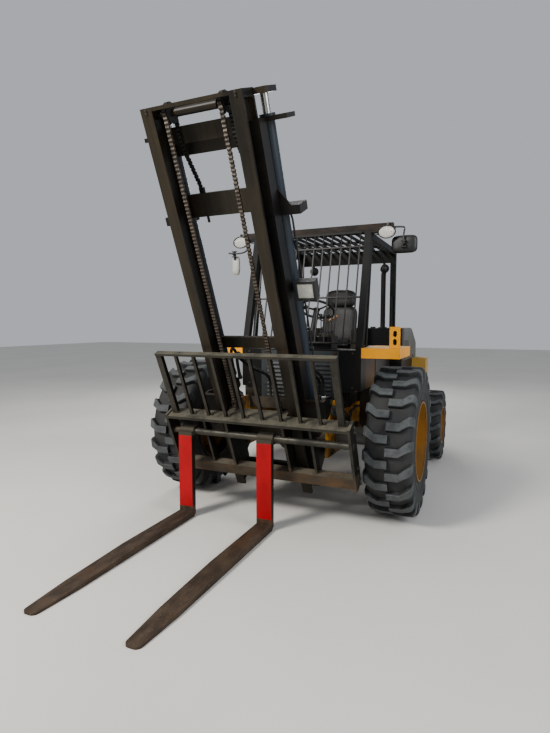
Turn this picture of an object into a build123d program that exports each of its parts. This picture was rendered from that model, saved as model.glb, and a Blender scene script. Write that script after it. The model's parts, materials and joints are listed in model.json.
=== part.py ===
from build123d import *
from collections import namedtuple
from math import asin, cos, degrees, radians, sin
import os

# Rough terrain forklift: two-wheel drive, rear steer, two-stage mast, parked with
# its mast tilted fully forward and its forks flat on the ground.
# Millimetres. The machine faces -Y, its left side is +X, and +Z is up.
# The origin lies on the ground below the middle of the whole outline.

os.makedirs("parts", exist_ok=True)

# Driving dimensions of the running gear
wheelbase = 1957
rear_overhang = 1040
front_tyre_radius = 640
front_tyre_width = 385
front_rim_radius = 346
rear_tyre_radius = 418
rear_tyre_width = 305
rear_rim_radius = 228
overall_half_width = 1200
rear_half_width = 1190
kingpin_x = 850
pin_clearance = 0.3
end_play = 2
running_clearance = 6
seat_gap = 0.3

# Driving dimensions of the mast, measured along it (s), rearward of the inner
# rails' front face (q) and sideways (x)
mast_tilt = 24.33
mast_foot = -358
pivot_station = -220
pivot_height = 560
rail_bottom = 230
inner_rail_top = 3240
outer_rail_top = 3110
rail_inner_x = 276
rail_width = 84
rail_depth = 170
flange = 20
web = 20
outer_front_q = 100
outer_depth = 112
outer_web_x = 372
outer_web = 22

# Driving dimensions of the forks and carriage
fork_thickness = 50
fork_width = 130
blade_length = 1595
heel_station = -866
fork_eye_drop = 736
fork_eye_set_back = 20
fork_right_x = -635
fork_left_x = 99
fork_shaft_radius = 28
carriage_half_width = 805
carriage_top_s = 1020
carriage_bar_s = 537
carriage_bar_height = 99
carriage_bar_depth = 70
guard_top_s = 1590
guard_half_width = 755

# Driving dimensions of the body and canopy
frame_x = 425
frame_plate = 25
frame_top = 830
deck_height = 1000
deck_plate = 8
cowl_top = 1400
hood_top = 1590
hood_half_width = 700
canopy_half_width = 589
canopy_tube = 62
canopy_front_foot = 160
canopy_front_top = 447
canopy_rear_station = 1712
canopy_rail_top = 2520
header_half_width = 815
header_top = 2602

# Stations: distances along Y, rearward of the front axle
fork_reach = blade_length - heel_station
axle_y = (fork_reach - wheelbase - rear_overhang) / 2


def st(distance):
    """Y of a station, a distance rearward of the front axle."""
    return axle_y + distance


front_track_x = overall_half_width - front_tyre_width / 2
rear_track_x = rear_half_width - rear_tyre_width / 2

# The tilted frame of the mast: local x is X, local y is q, local z is s
lean = radians(mast_tilt)
mast = Plane(origin=(0, st(mast_foot), 0), x_dir=(1, 0, 0), z_dir=(0, -sin(lean), cos(lean)))


def mast_side(x):
    """Plane across X with local coordinates (q, s)."""
    return Plane(origin=mast.from_local_coords((x, 0, 0)), x_dir=mast.y_dir, z_dir=(1, 0, 0))


def on_mast(station, height):
    """The (q, s) of a point given by its station and its height."""
    point = mast.to_local_coords(Vector(0, st(station), height))
    return point.Y, point.Z


def block(x, y, z, mode=Mode.ADD):
    """A box between pairs of limits, in the open part's own frame."""
    with Locations(((x[0] + x[1]) / 2, (y[0] + y[1]) / 2, (z[0] + z[1]) / 2)):
        Box(abs(x[1] - x[0]), abs(y[1] - y[0]), abs(z[1] - z[0]), mode=mode)


def tube_x(x, y, z, radius, mode=Mode.ADD):
    """A cylinder along X between two limits, in the open part's own frame."""
    with Locations(Location(((x[0] + x[1]) / 2, y, z), (0, 90, 0))):
        Cylinder(radius, abs(x[1] - x[0]), mode=mode)


def finish(builder, name):
    """Labels a finished sub-part and writes it."""
    builder.part.label = name
    export_step(builder.part, f"parts/{name}.step")


def wheel_plane(side, x, y, z):
    """Section plane through a wheel: local x outboard, local y up."""
    return Plane(origin=(side * x, y, z), x_dir=(side, 0, 0), z_dir=(0, -side, 0))


SIDES = (("left", 1), ("right", -1))

# Wheels: a tyre and a dished rim for each corner
# disc_x is the disc's offset outboard, bore is the hub's radius
Wheel = namedtuple("Wheel", "axle radius width rim_radius rim_half disc_x bore hub_radius x station")
front_rim_half = 172
front_disc_x = 10
rear_rim_half = 132
rear_disc_x = 30
WHEELS = (
    Wheel("front", front_tyre_radius, front_tyre_width, front_rim_radius, front_rim_half, front_disc_x, 62,
          105, front_track_x, 0),
    Wheel("rear", rear_tyre_radius, rear_tyre_width, rear_rim_radius, rear_rim_half, rear_disc_x, 42, 76,
          rear_track_x, wheelbase),
)
# Tread: two staggered rows of hooked lugs. A bar runs out from the middle, bends at bend_x
# and rises round the tyre to its wider end on the shoulder.
Tread = namedtuple("Tread", "count height bar_half bend_x rise end_half bevel skirt")
TREADS = (
    Tread(20, 36, 29, 92, 60, 33, 46, 122),
    Tread(16, 25, 20, 70, 46, 24, 34, 84),
)
lug_start = -8
disc_plate = 14
rim_wall = 10
rim_lip = 14
hub_depth = 38


def lug_form(wheel, tread):
    """One lug above the X axis with its flat tip upward, for the outboard row."""
    half = wheel.width / 2
    middle = (tread.rise + tread.end_half - tread.bar_half) / 2
    reach = (tread.rise + tread.end_half + tread.bar_half) / 2
    tip = (wheel.radius**2 - reach**2) ** 0.5
    with BuildPart() as lug:
        with BuildSketch(Plane.XY.offset(tip - tread.skirt)):
            with BuildLine():
                Polyline(
                    (lug_start, -tread.bar_half - middle),
                    (tread.bend_x, -tread.bar_half - middle),
                    (half, tread.rise - tread.end_half - middle),
                    (half, tread.rise + tread.end_half - middle),
                    (tread.bend_x - tread.bar_half / 2, tread.bar_half - middle),
                    (lug_start, tread.bar_half - middle),
                    close=True,
                )
            make_face()
        extrude(amount=tread.skirt)
        with BuildSketch(Plane.XZ):
            with BuildLine():
                Polyline(
                    (lug_start, tip - tread.height - 12),
                    (lug_start, tip),
                    (half - tread.bevel, tip),
                    (half, tip - tread.bevel),
                    (half, tip - tread.skirt),
                    (half - tread.bevel, tip - tread.skirt),
                    (half - 2 * tread.bevel, tip - tread.height - 12),
                    close=True,
                )
            make_face()
        extrude(amount=2 * reach, both=True, mode=Mode.INTERSECT)
    return lug.part


def tyre_form(wheel, tread):
    """One tyre about the X axis, outboard towards +X: a facetted carcass and its lugs."""
    half = wheel.width / 2
    floor = wheel.radius - tread.height
    bead = wheel.rim_radius - rim_lip
    pitch = 360 / tread.count
    lug = lug_form(wheel, tread)
    with BuildPart() as tyre:
        # distance from the middle, radius
        for x, r in (
            (-wheel.rim_half, wheel.rim_radius),
            (-half, (wheel.rim_radius + floor) / 2),
            (-half + 12, floor - tread.bevel),
            (-half + 70, floor - 3),
            (half - 70, floor - 3),
            (half - 12, floor - tread.bevel),
            (half, (wheel.rim_radius + floor) / 2),
            (wheel.rim_half, wheel.rim_radius),
        ):
            with BuildSketch(Plane.YZ.offset(x)):
                RegularPolygon(r, 2 * tread.count)
        loft(ruled=True)
        with BuildSketch(Plane.YZ.offset(-half)):
            RegularPolygon(bead, 2 * tread.count, major_radius=False)
        extrude(amount=2 * half, mode=Mode.SUBTRACT)
        for k in range(tread.count):
            add(lug.rotate(Axis.X, k * pitch))
            add(lug.mirror(Plane.YZ).rotate(Axis.X, (k + 0.5) * pitch))
    return tyre.part


for wheel, tread in zip(WHEELS, TREADS):
    axle, radius, rim_radius, rim_half = wheel.axle, wheel.radius, wheel.rim_radius, wheel.rim_half
    disc_x, bore, hub_r = wheel.disc_x, wheel.bore, wheel.hub_radius
    x, station = wheel.x, wheel.station
    bead = rim_radius - rim_lip
    form = tyre_form(wheel, tread)
    # the foremost corner of one lug stands on the ground
    reach = (tread.rise + tread.end_half + tread.bar_half) / 2
    turn = 180 - degrees(asin(reach / radius))
    for side_name, side in SIDES:
        plane = wheel_plane(side, x, st(station), radius)
        spin = Axis(plane.origin, plane.x_dir)
        with BuildPart() as tyre:
            add(form.rotate(Axis.X, turn) if side > 0 else form.rotate(Axis.X, turn).mirror(Plane.YZ))
        tyre.part = tyre.part.moved(Location((side * x, st(station), radius)))
        finish(tyre, f"{axle}_tyre_{side_name}")
        with BuildPart() as rim:
            with BuildSketch(plane):
                with BuildLine():
                    Polyline(
                        (-rim_half, bead - rim_wall),
                        (-rim_half, bead - seat_gap),
                        (rim_half, bead - seat_gap),
                        (rim_half, bead - rim_wall),
                        (disc_x + 2 * disc_plate, bead - rim_wall - 14),
                        (disc_x + disc_plate, bead - 60),
                        (disc_x + disc_plate, hub_r),
                        (disc_x + 52, hub_r - 10),
                        (disc_x + 52, 0),
                        (disc_x + hub_depth, 0),
                        (disc_x + hub_depth, bore),
                        (disc_x - 10, bore),
                        (disc_x, hub_r),
                        (disc_x, bead - 60),
                        (disc_x + 10, bead - rim_wall - 14),
                        close=True,
                    )
                make_face()
                with Locations((rim_half + 6, rim_radius - rim_lip - 2 + 6)):
                    Rectangle(12, 16)
                with Locations((-rim_half - 6, rim_radius - rim_lip - 2 + 6)):
                    Rectangle(12, 16)
            revolve(axis=spin)
        finish(rim, f"{axle}_rim_{side_name}")

front_hub_end = front_track_x + front_disc_x + hub_depth - end_play
rear_hub_end = rear_track_x + rear_disc_x + hub_depth - end_play

# Front drive axle: round housing, gear case and spindles, fixed in the frame plates
axle_radius = 78
with BuildPart() as front_axle:
    with BuildSketch(Plane(origin=(0, st(0), front_tyre_radius), x_dir=(1, 0, 0), z_dir=(0, -1, 0))):
        with BuildLine():
            Polyline(
                (0, 0),
                (0, 190),
                (70, 180),
                (130, 130),
                (190, axle_radius + 12),
                (260, axle_radius),
                (740, axle_radius),
                (760, 110),
                (front_track_x - 60, 110),
                (front_track_x - 40, 95),
                (front_track_x - 8, 95),
                (front_track_x - 8, WHEELS[0].bore - pin_clearance),
                (front_hub_end, WHEELS[0].bore - pin_clearance),
                (front_hub_end, 0),
                close=True,
            )
        make_face()
    revolve(axis=Axis((0, st(0), front_tyre_radius), (1, 0, 0)))
    mirror(about=Plane.YZ)
    tube_x((-60, 60), st(210), front_tyre_radius, 48)
    block((-95, 95), (st(120), st(260)), (front_tyre_radius - 70, front_tyre_radius + 70))
finish(front_axle, "front_axle")

# Rear steering axle: box beam with a fork for each kingpin, rocking on a centre pin
beam_half = 62
yoke_gap = 2
knuckle_half_height = 66
rear_z = rear_tyre_radius
with BuildPart() as rear_axle:
    with BuildSketch(Plane.XZ.offset(-st(wheelbase))):
        with BuildLine():
            Polyline(
                (0, rear_z + 95),
                (160, rear_z + 95),
                (300, rear_z + 62),
                (kingpin_x - 120, rear_z + 62),
                (kingpin_x - 90, rear_z + 100),
                (kingpin_x + 45, rear_z + 100),
                (kingpin_x + 45, rear_z + knuckle_half_height + yoke_gap),
                (kingpin_x - 66, rear_z + knuckle_half_height + yoke_gap),
                (kingpin_x - 66, rear_z - knuckle_half_height - yoke_gap),
                (kingpin_x + 45, rear_z - knuckle_half_height - yoke_gap),
                (kingpin_x + 45, rear_z - 100),
                (kingpin_x - 90, rear_z - 100),
                (kingpin_x - 120, rear_z - 62),
                (0, rear_z - 62),
                close=True,
            )
        make_face()
    extrude(amount=beam_half, both=True)
    mirror(about=Plane.YZ)
    with Locations(Location((0, st(wheelbase), rear_z + 45), (90, 0, 0))):
        Cylinder(40, 420)
    for side in (1, -1):
        with Locations((side * kingpin_x, st(wheelbase), rear_z)):
            Cylinder(22, 2 * knuckle_half_height + 60)
finish(rear_axle, "rear_axle")

tie_arm = 150
tie_pin = 11
tie_eye = 22
tie_radius = 11
arm_z = (rear_z - 35, rear_z - 10)
tie_z = (arm_z[0] - seat_gap - 24, arm_z[0] - seat_gap)
for side_name, side in SIDES:
    with BuildPart() as knuckle:
        with Locations((side * kingpin_x, st(wheelbase), rear_z)):
            Cylinder(54, 2 * knuckle_half_height)
        tube_x((side * (kingpin_x + 40), side * (rear_track_x - 8)), st(wheelbase), rear_z, 58)
        tube_x((side * kingpin_x, side * rear_hub_end), st(wheelbase), rear_z, WHEELS[1].bore - pin_clearance)
        # steering arm, cranked so that it clears the yoke at full lock
        with BuildSketch(Plane.XY.offset(arm_z[0])):
            with BuildLine():
                Polyline(
                    (side * (kingpin_x + 14), st(wheelbase + 15)),
                    (side * (kingpin_x + 45), st(wheelbase + 15)),
                    (side * (kingpin_x + 45), st(wheelbase + 110)),
                    (side * (kingpin_x + 24), st(wheelbase + tie_arm + 20)),
                    (side * (kingpin_x - 20), st(wheelbase + tie_arm + 20)),
                    (side * (kingpin_x - 22), st(wheelbase + tie_arm - 18)),
                    (side * (kingpin_x + 14), st(wheelbase + 100)),
                    close=True,
                )
            make_face()
        extrude(amount=arm_z[1] - arm_z[0])
        with Locations((side * kingpin_x, st(wheelbase + tie_arm), (tie_z[0] + arm_z[0]) / 2)):
            Cylinder(tie_pin, arm_z[0] - tie_z[0] + 8)
        with Locations((side * kingpin_x, st(wheelbase), rear_z)):
            Cylinder(22 + pin_clearance, 2 * knuckle_half_height + 10, mode=Mode.SUBTRACT)
    finish(knuckle, f"knuckle_{side_name}")

# Tie rod below the two steering arms
with BuildPart() as tie_rod:
    for side in (1, -1):
        with Locations((side * kingpin_x, st(wheelbase + tie_arm), (tie_z[0] + tie_z[1]) / 2)):
            Cylinder(tie_eye, tie_z[1] - tie_z[0])
    tube_x((-kingpin_x + tie_pin + 4, kingpin_x - tie_pin - 4), st(wheelbase + tie_arm),
           (tie_z[0] + tie_z[1]) / 2, tie_radius)
    for side in (1, -1):
        with Locations((side * kingpin_x, st(wheelbase + tie_arm), tie_z[0])):
            Cylinder(tie_pin + pin_clearance, 80, mode=Mode.SUBTRACT)
finish(tie_rod, "tie_rod")

# Chassis: two shaped side plates joined by cross members
tilt_anchor_station = 300
engine_front = 1930
tilt_anchor_height = 650
tilt_pin_radius = 20
tilt_eye_half = 27
tilt_x = 495
tilt_lug_x = tilt_x + tilt_eye_half + running_clearance
ear_x = outer_web_x + outer_web
ear_plate = 24
pivot_pin_radius = 32
with BuildPart() as chassis_frame:
    with BuildSketch(Plane.YZ.offset(frame_x)):
        with BuildLine():
            Polyline(
                (st(pivot_station - 95), pivot_height - 70),
                (st(pivot_station - 95), pivot_height + 90),
                (st(pivot_station - 20), 960),
                (st(-70), 960),
                (st(120), frame_top),
                (st(wheelbase + 700), frame_top),
                (st(wheelbase + 700), 560),
                (st(wheelbase + 330), 560),
                (st(wheelbase + 200), 660),
                (st(wheelbase - 200), 660),
                (st(wheelbase - 330), 500),
                (st(330), 500),
                (st(170), 480),
                (st(-60), 480),
                close=True,
            )
        make_face()
        with Locations((st(0), front_tyre_radius)):
            Circle(axle_radius + seat_gap, mode=Mode.SUBTRACT)
        with Locations((st(pivot_station), pivot_height)):
            Circle(pivot_pin_radius, mode=Mode.SUBTRACT)
    extrude(amount=frame_plate)
    # the outer lug and the pin of the tilt cylinder
    with BuildSketch(Plane.YZ.offset(tilt_lug_x)):
        with BuildLine():
            Polyline(
                (st(tilt_anchor_station - 55), tilt_anchor_height - 20),
                (st(tilt_anchor_station - 20), tilt_anchor_height + 55),
                (st(tilt_anchor_station + 40), tilt_anchor_height + 55),
                (st(tilt_anchor_station + 190), tilt_anchor_height - 40),
                (st(tilt_anchor_station + 190), tilt_anchor_height - 90),
                (st(tilt_anchor_station + 20), tilt_anchor_height - 90),
                close=True,
            )
        make_face()
    extrude(amount=20)
    tube_x((frame_x + 5, tilt_lug_x + 26), st(tilt_anchor_station), tilt_anchor_height, tilt_pin_radius)
    block(
        (frame_x + 5, tilt_lug_x + 10),
        (st(tilt_anchor_station + 110), st(tilt_anchor_station + 190)),
        (tilt_anchor_height - 90, tilt_anchor_height - 40),
    )
    # the pin that carries the mast
    tube_x((ear_x - ear_plate - 14, frame_x + frame_plate + 14), st(pivot_station), pivot_height,
           pivot_pin_radius)
    mirror(about=Plane.YZ)
    for y0, y1, z0, z1 in (
        (-60, -30, 845, 945),
        (700, 725, 560, 800),
        (wheelbase - 190, wheelbase - 130, 560, 800),
        (wheelbase + 130, wheelbase + 190, 560, 800),
        (wheelbase + 670, wheelbase + 700, 580, frame_top),
    ):
        block((-frame_x - 5, frame_x + 5), (st(y0), st(y1)), (z0, z1))
    with Locations(Location((0, st(712), front_tyre_radius), (90, 0, 0))):
        Cylinder(36 + 12, 60, mode=Mode.SUBTRACT)
    for y0, y1 in ((-190, -130), (130, 190)):
        block((-75, 75), (st(wheelbase + y0), st(wheelbase + y1)), (rear_z - 10, 600))
    with Locations(Location((0, st(wheelbase), rear_z + 45), (90, 0, 0))):
        Cylinder(40 + pin_clearance, 440, mode=Mode.SUBTRACT)
finish(chassis_frame, "chassis_frame")

# Engine: one plain block under the hood
with BuildPart() as engine_block:
    block((-260, 260), (st(engine_front), st(engine_front + 700)), (frame_top + seat_gap, 1350))
finish(engine_block, "engine_block")

# Drive line: transmission case ahead of the engine and the shaft to the front axle's gear case
drive_z = front_tyre_radius
case_front = 1260
with BuildPart() as drive_line:
    block((-170, 170), (st(case_front), st(wheelbase - 195)), (drive_z - 110, drive_z + 180))
    block((-120, 120), (st(case_front + 60), st(engine_front + 60)), (800 + seat_gap, frame_top))
    with Locations(Location((0, st((260 + case_front) / 2), drive_z), (90, 0, 0))):
        Cylinder(36, case_front - 260 - 2 * seat_gap)
    for y in (300, case_front - 60):
        with Locations(Location((0, st(y), drive_z), (90, 0, 0))):
            Cylinder(58, 40)
finish(drive_line, "drive_line")

# Counterweight: cast rear end with rounded corners
counter_top = 1180
tow_pin_hole = 21
tow_pin_set_in = 45
tow_pin_way = 26
duct_half = 330
duct_z = (760, 1060)
with BuildPart() as counterweight:
    with BuildSketch(Plane.XY.offset(480)):
        with BuildLine():
            Polyline(
                (-880, st(wheelbase + 640)),
                (-880, st(wheelbase + 900)),
                (-760, st(wheelbase + rear_overhang)),
                (760, st(wheelbase + rear_overhang)),
                (880, st(wheelbase + 900)),
                (880, st(wheelbase + 640)),
                (470, st(wheelbase + 640)),
                (470, st(wheelbase + 700 + seat_gap)),
                (-470, st(wheelbase + 700 + seat_gap)),
                (-470, st(wheelbase + 640)),
                close=True,
            )
        make_face()
    extrude(amount=counter_top - 480)
    block((-duct_half, duct_half), (st(wheelbase + 600), st(wheelbase + rear_overhang + 10)), duct_z,
          mode=Mode.SUBTRACT)
    # tow pocket, its pin hole and the way by which the pin is lifted out
    block((-70, 70), (st(wheelbase + rear_overhang - 150), st(wheelbase + rear_overhang + 10)), (575, 645),
          mode=Mode.SUBTRACT)
    with Locations((0, st(wheelbase + rear_overhang - tow_pin_set_in), (480 + duct_z[0]) / 2)):
        Cylinder(tow_pin_hole, duct_z[0] - 480 + 2, mode=Mode.SUBTRACT)
    with Locations((0, st(wheelbase + rear_overhang - tow_pin_set_in), (duct_z[1] + counter_top) / 2)):
        Cylinder(tow_pin_way, counter_top - duct_z[1] + 2, mode=Mode.SUBTRACT)
finish(counterweight, "counterweight")

grille_x = duct_half - seat_gap
grille_z = (duct_z[0] + seat_gap, duct_z[1] - seat_gap)
grille_y = wheelbase + 940

# Radiator grille set in the opening of the counterweight
with BuildPart() as rear_grille:
    block((-grille_x, grille_x), (st(grille_y), st(grille_y + 15)), grille_z)
    block((-grille_x + 30, grille_x - 30), (st(grille_y - 5), st(grille_y + 20)),
          (grille_z[0] + 30, grille_z[1] - 30), mode=Mode.SUBTRACT)
    for k in range(9):
        z = grille_z[0] + 40 + 25 * k
        block((-grille_x + 20, grille_x - 20), (st(grille_y + 2), st(grille_y + 13)), (z, z + 10))
finish(rear_grille, "rear_grille")

# Engine bay: a fixed scuttle behind the canopy with a side panel to each rear wheel
hood_sheet = 4
scuttle_front = 1790
hood_front = 1900
hood_rear = wheelbase + rear_overhang - 70
hood_foot = counter_top + running_clearance
hinge_station = hood_front + running_clearance / 2
hinge_height = hood_top + 10
hinge_knuckle = 8
hinge_pin = 5
hinge_leaf = 5
leaf_length = 42
hinge_x = (290, 308, 332, 350)
louvre_front = hood_front + 90
louvre_pitch = 34
louvre_width = 12
louvre_z = (1270, 1430)
with BuildPart() as engine_surround:
    block((-hood_half_width, hood_half_width), (st(scuttle_front), st(hood_front)), (900, hood_top))
    block((-hood_half_width + hood_sheet, hood_half_width - hood_sheet),
          (st(scuttle_front + hood_sheet), st(hood_front + 1)), (899, hood_top - hood_sheet),
          mode=Mode.SUBTRACT)
    for side in (1, -1):
        block((side * (hood_half_width - hood_sheet), side * hood_half_width),
              (st(hood_front - 1), st(wheelbase + 640 - running_clearance)), (900, counter_top))
        # brackets on the frame
        for y in (hood_front + 20, wheelbase + 560):
            block((side * (frame_x + seat_gap), side * (hood_half_width - 2)), (st(y), st(y + 40)),
                  (frame_top + seat_gap, 910))
    # fixed knuckles, leaves and pins of the hood's hinges
    for side in (1, -1):
        for x0, x1 in (hinge_x[0:2], hinge_x[2:4]):
            tube_x((side * x0, side * x1), st(hinge_station), hinge_height, hinge_knuckle)
            block((side * x0, side * x1), (st(hinge_station - leaf_length), st(hinge_station)),
                  (hood_top - 1, hood_top + hinge_leaf))
        tube_x((side * hinge_x[0], side * hinge_x[3]), st(hinge_station), hinge_height, hinge_pin)
finish(engine_surround, "engine_surround")

# Engine hood: a folded sheet cover, hinged at its front upper edge
def hood_form(inset, corner):
    """The hood's outer form, or its hollow when it is inset by the sheet."""
    with BuildPart() as form:
        with BuildSketch(Plane.YZ):
            with BuildLine():
                Polyline(
                    (st(hood_front + running_clearance) + (0 if inset == 0 else -1), hood_foot - inset),
                    (st(hood_front + running_clearance) + (0 if inset == 0 else -1), hood_top - inset),
                    (st(hood_rear - 330) - inset / 4, hood_top - inset),
                    (st(hood_rear) - inset, hood_top - 170 - inset / 2),
                    (st(hood_rear) - inset, hood_foot - inset),
                    close=True,
                )
            make_face()
        extrude(amount=hood_half_width - inset, both=True)
        rim = form.edges().filter_by(lambda e: abs(e.center().X) > hood_half_width - inset - 1)
        fillet(rim.filter_by(lambda e: e.center().Z > hood_top - 120 and e.length > 200), corner)
    return form.part


with BuildPart() as engine_hood:
    add(hood_form(0, 45))
    add(hood_form(hood_sheet, 45 - hood_sheet), mode=Mode.SUBTRACT)
    for side in (1, -1):
        # louvres
        for k in range(8):
            block((side * (hood_half_width - 10), side * (hood_half_width + 1)),
                  (st(louvre_front + louvre_pitch * k), st(louvre_front + louvre_pitch * k + louvre_width)),
                  louvre_z, mode=Mode.SUBTRACT)
        x = (side * (hinge_x[1] + pin_clearance), side * (hinge_x[2] - pin_clearance))
        tube_x(x, st(hinge_station), hinge_height, hinge_knuckle)
        block(x, (st(hinge_station), st(hinge_station + leaf_length)), (hood_top - 1, hood_top + hinge_leaf))
        tube_x((side * hinge_x[1], side * hinge_x[2]), st(hinge_station), hinge_height,
               hinge_pin + pin_clearance, mode=Mode.SUBTRACT)
finish(engine_hood, "engine_hood")

# Side tanks between the wheels, each with two steps cut in its side
tank_front = 760
tank_rear = 1330
tank_x = (frame_x + frame_plate + 6, 900)
with BuildPart() as side_tanks:
    block(tank_x, (st(tank_front), st(tank_rear)), (430, deck_height - 10))
    fillet(side_tanks.edges().filter_by(Axis.Y).group_by(Axis.Z)[0], 40)
    for z in (560, 760):
        block((tank_x[1] - 110, tank_x[1] + 10), (st(tank_front + 100), st(tank_rear - 100)), (z, z + 130),
              mode=Mode.SUBTRACT)
    # pads on the frame plates
    for z in (600, 800):
        for y in (tank_front + 80, tank_rear - 140):
            block((frame_x + frame_plate, tank_x[0] + 5), (st(y), st(y + 60)), (z, z + 25))
    mirror(about=Plane.YZ)
finish(side_tanks, "side_tanks")

# Floor: deck plate on the frame, turned up at the front to meet the cowl
cowl_station = 150
cowl_sheet = 5
with BuildPart() as floor_deck:
    block((-560, 560), (st(cowl_station + cowl_sheet + seat_gap), st(scuttle_front - 10)),
          (deck_height, deck_height + deck_plate))
    for x in (-frame_x - frame_plate / 2, frame_x + frame_plate / 2):
        for y in (420, 1000, 1600):
            block((x - 12, x + 12), (st(y - 40), st(y + 40)), (frame_top + seat_gap, deck_height))
    # rear bulkhead and the step up to the seat
    block((-560, 560), (st(1010), st(1010 + deck_plate)), (deck_height, 1290))
    block((-560, 560), (st(1010), st(scuttle_front - 10)), (1290, 1290 + deck_plate))
    block((-560, -560 + deck_plate), (st(1010), st(scuttle_front - 10)), (deck_height, 1290))
    block((560 - deck_plate, 560), (st(1010), st(scuttle_front - 10)), (deck_height, 1290))
finish(floor_deck, "floor_deck")

dash_y = (240, 440)
dash_top = cowl_top + 120

# Front cowl: louvred sheet in front of the operator's feet, with its dash top
with BuildPart() as front_cowl:
    block((-420, 420), (st(cowl_station), st(cowl_station + cowl_sheet)), (870, cowl_top))
    block((-560, 560), (st(cowl_station), st(cowl_station + cowl_sheet)), (deck_height, cowl_top))
    block((-560, 560), (st(cowl_station), st(cowl_station + 250)), (cowl_top - 5, cowl_top))
    block((-300, 300), (st(dash_y[0]), st(dash_y[1])), (cowl_top - 5, dash_top))
    for x0 in (-330, 130):
        for k in range(9):
            block((x0, x0 + 200), (st(cowl_station - 5), st(cowl_station + 10)),
                  (930 + 40 * k, 948 + 40 * k), mode=Mode.SUBTRACT)
finish(front_cowl, "front_cowl")

# Fenders: flat boxes over the front tyres with a pierced lamp guard and a dark inner panel
fender_x = (612, 964)
fender_top = 1423
fender_depth = 94
fender_y = (canopy_front_foot - 11, canopy_front_foot - 11 + 568)
with BuildPart() as fenders:
    block(fender_x, (st(fender_y[0]), st(fender_y[1])), (fender_top - fender_depth, fender_top))
    block((fender_x[0] + 8, fender_x[1] - 8), (st(fender_y[0] + 8), st(fender_y[1] - 8)),
          (fender_top - fender_depth - 5, fender_top - 8), mode=Mode.SUBTRACT)
    block((561, fender_x[0] + 2), (st(fender_y[0]), st(fender_y[1])), (deck_height + 20, fender_top))
    with BuildSketch(Plane.XZ.offset(-st(fender_y[0] + 20))):
        with Locations((fender_x[1] - 50, fender_top + 95)):
            Rectangle(96, 200)
            with GridLocations(0, 74, 1, 2):
                SlotCenterToCenter(22, 34, rotation=90, mode=Mode.SUBTRACT)
    extrude(amount=-6)
    mirror(about=Plane.YZ)
finish(fenders, "fenders")

# Canopy: raked front posts, upright rear posts, rails, cross beams and the roof bars
half_tube = canopy_tube / 2
rear_beam_depth = 150
with BuildPart() as canopy_frame:
    with BuildSketch(Plane.YZ.offset(canopy_half_width - half_tube)):
        with BuildLine():
            Polyline(
                (st(canopy_front_foot), fender_top + 6),
                (st(canopy_front_top), canopy_rail_top),
                (st(canopy_rear_station + canopy_tube), canopy_rail_top),
                (st(canopy_rear_station + canopy_tube), 1298 + seat_gap),
                (st(canopy_rear_station), 1298 + seat_gap),
                (st(canopy_rear_station), canopy_rail_top - canopy_tube),
                (st(canopy_front_top + canopy_tube), canopy_rail_top - canopy_tube),
                (st(canopy_front_foot + canopy_tube), fender_top + 6),
                close=True,
            )
        make_face()
    extrude(amount=canopy_tube)
    # second post behind the raked one, and the side of the roof
    with BuildSketch(Plane.YZ.offset(canopy_half_width - 20)):
        with BuildLine():
            Polyline(
                (st(360), fender_top + seat_gap),
                (st(canopy_front_top + 90), canopy_rail_top - 20),
                (st(canopy_front_top + 130), canopy_rail_top - 20),
                (st(400), fender_top + seat_gap),
                close=True,
            )
        make_face()
    extrude(amount=40)
    block((canopy_half_width - half_tube, canopy_half_width + half_tube),
          (st(canopy_front_foot), st(canopy_front_foot + 120)), (fender_top + seat_gap, fender_top + 12))
    mirror(about=Plane.YZ)
    block((-header_half_width, header_half_width), (st(canopy_front_top + 50), st(canopy_front_top + 110)),
          (canopy_rail_top - 4, header_top))
    block((-canopy_half_width, canopy_half_width),
          (st(canopy_rear_station), st(canopy_rear_station + canopy_tube)),
          (canopy_rail_top - rear_beam_depth, canopy_rail_top))
    for k in range(13):
        x = -canopy_half_width + (k + 0.5) * 2 * canopy_half_width / 13
        block((x - 8, x + 8), (st(canopy_front_top + 60), st(canopy_rear_station + 20)),
              (canopy_rail_top - 12, canopy_rail_top + 16))
    for y in (900, 1300):
        block((-canopy_half_width, canopy_half_width), (st(y), st(y + 30)),
              (canopy_rail_top - 30, canopy_rail_top - 10))
finish(canopy_frame, "canopy_frame")

# Front guard: thin upright bars and a cross rod between the raked posts
guard_lean = (canopy_front_top - canopy_front_foot) / (canopy_rail_top - cowl_top)
front_guard_face = Plane(
    origin=(0, st(canopy_front_foot + 30), cowl_top),
    x_dir=(1, 0, 0),
    z_dir=Vector(0, -1, guard_lean).normalized(),
)
with BuildPart(front_guard_face) as front_guard:
    length = (canopy_rail_top - cowl_top) / cos(radians(14.4)) - 130
    for k in range(12):
        x = -canopy_half_width + half_tube + (k + 0.5) * (2 * canopy_half_width - canopy_tube) / 12
        block((x - 6, x + 6), (60, length), (-6, 6))
    for y in (66, length / 2, length - 10):
        block((-canopy_half_width + half_tube + seat_gap, canopy_half_width - half_tube - seat_gap),
              (y - 7, y + 7), (-9, 9))
finish(front_guard, "front_guard")

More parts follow.
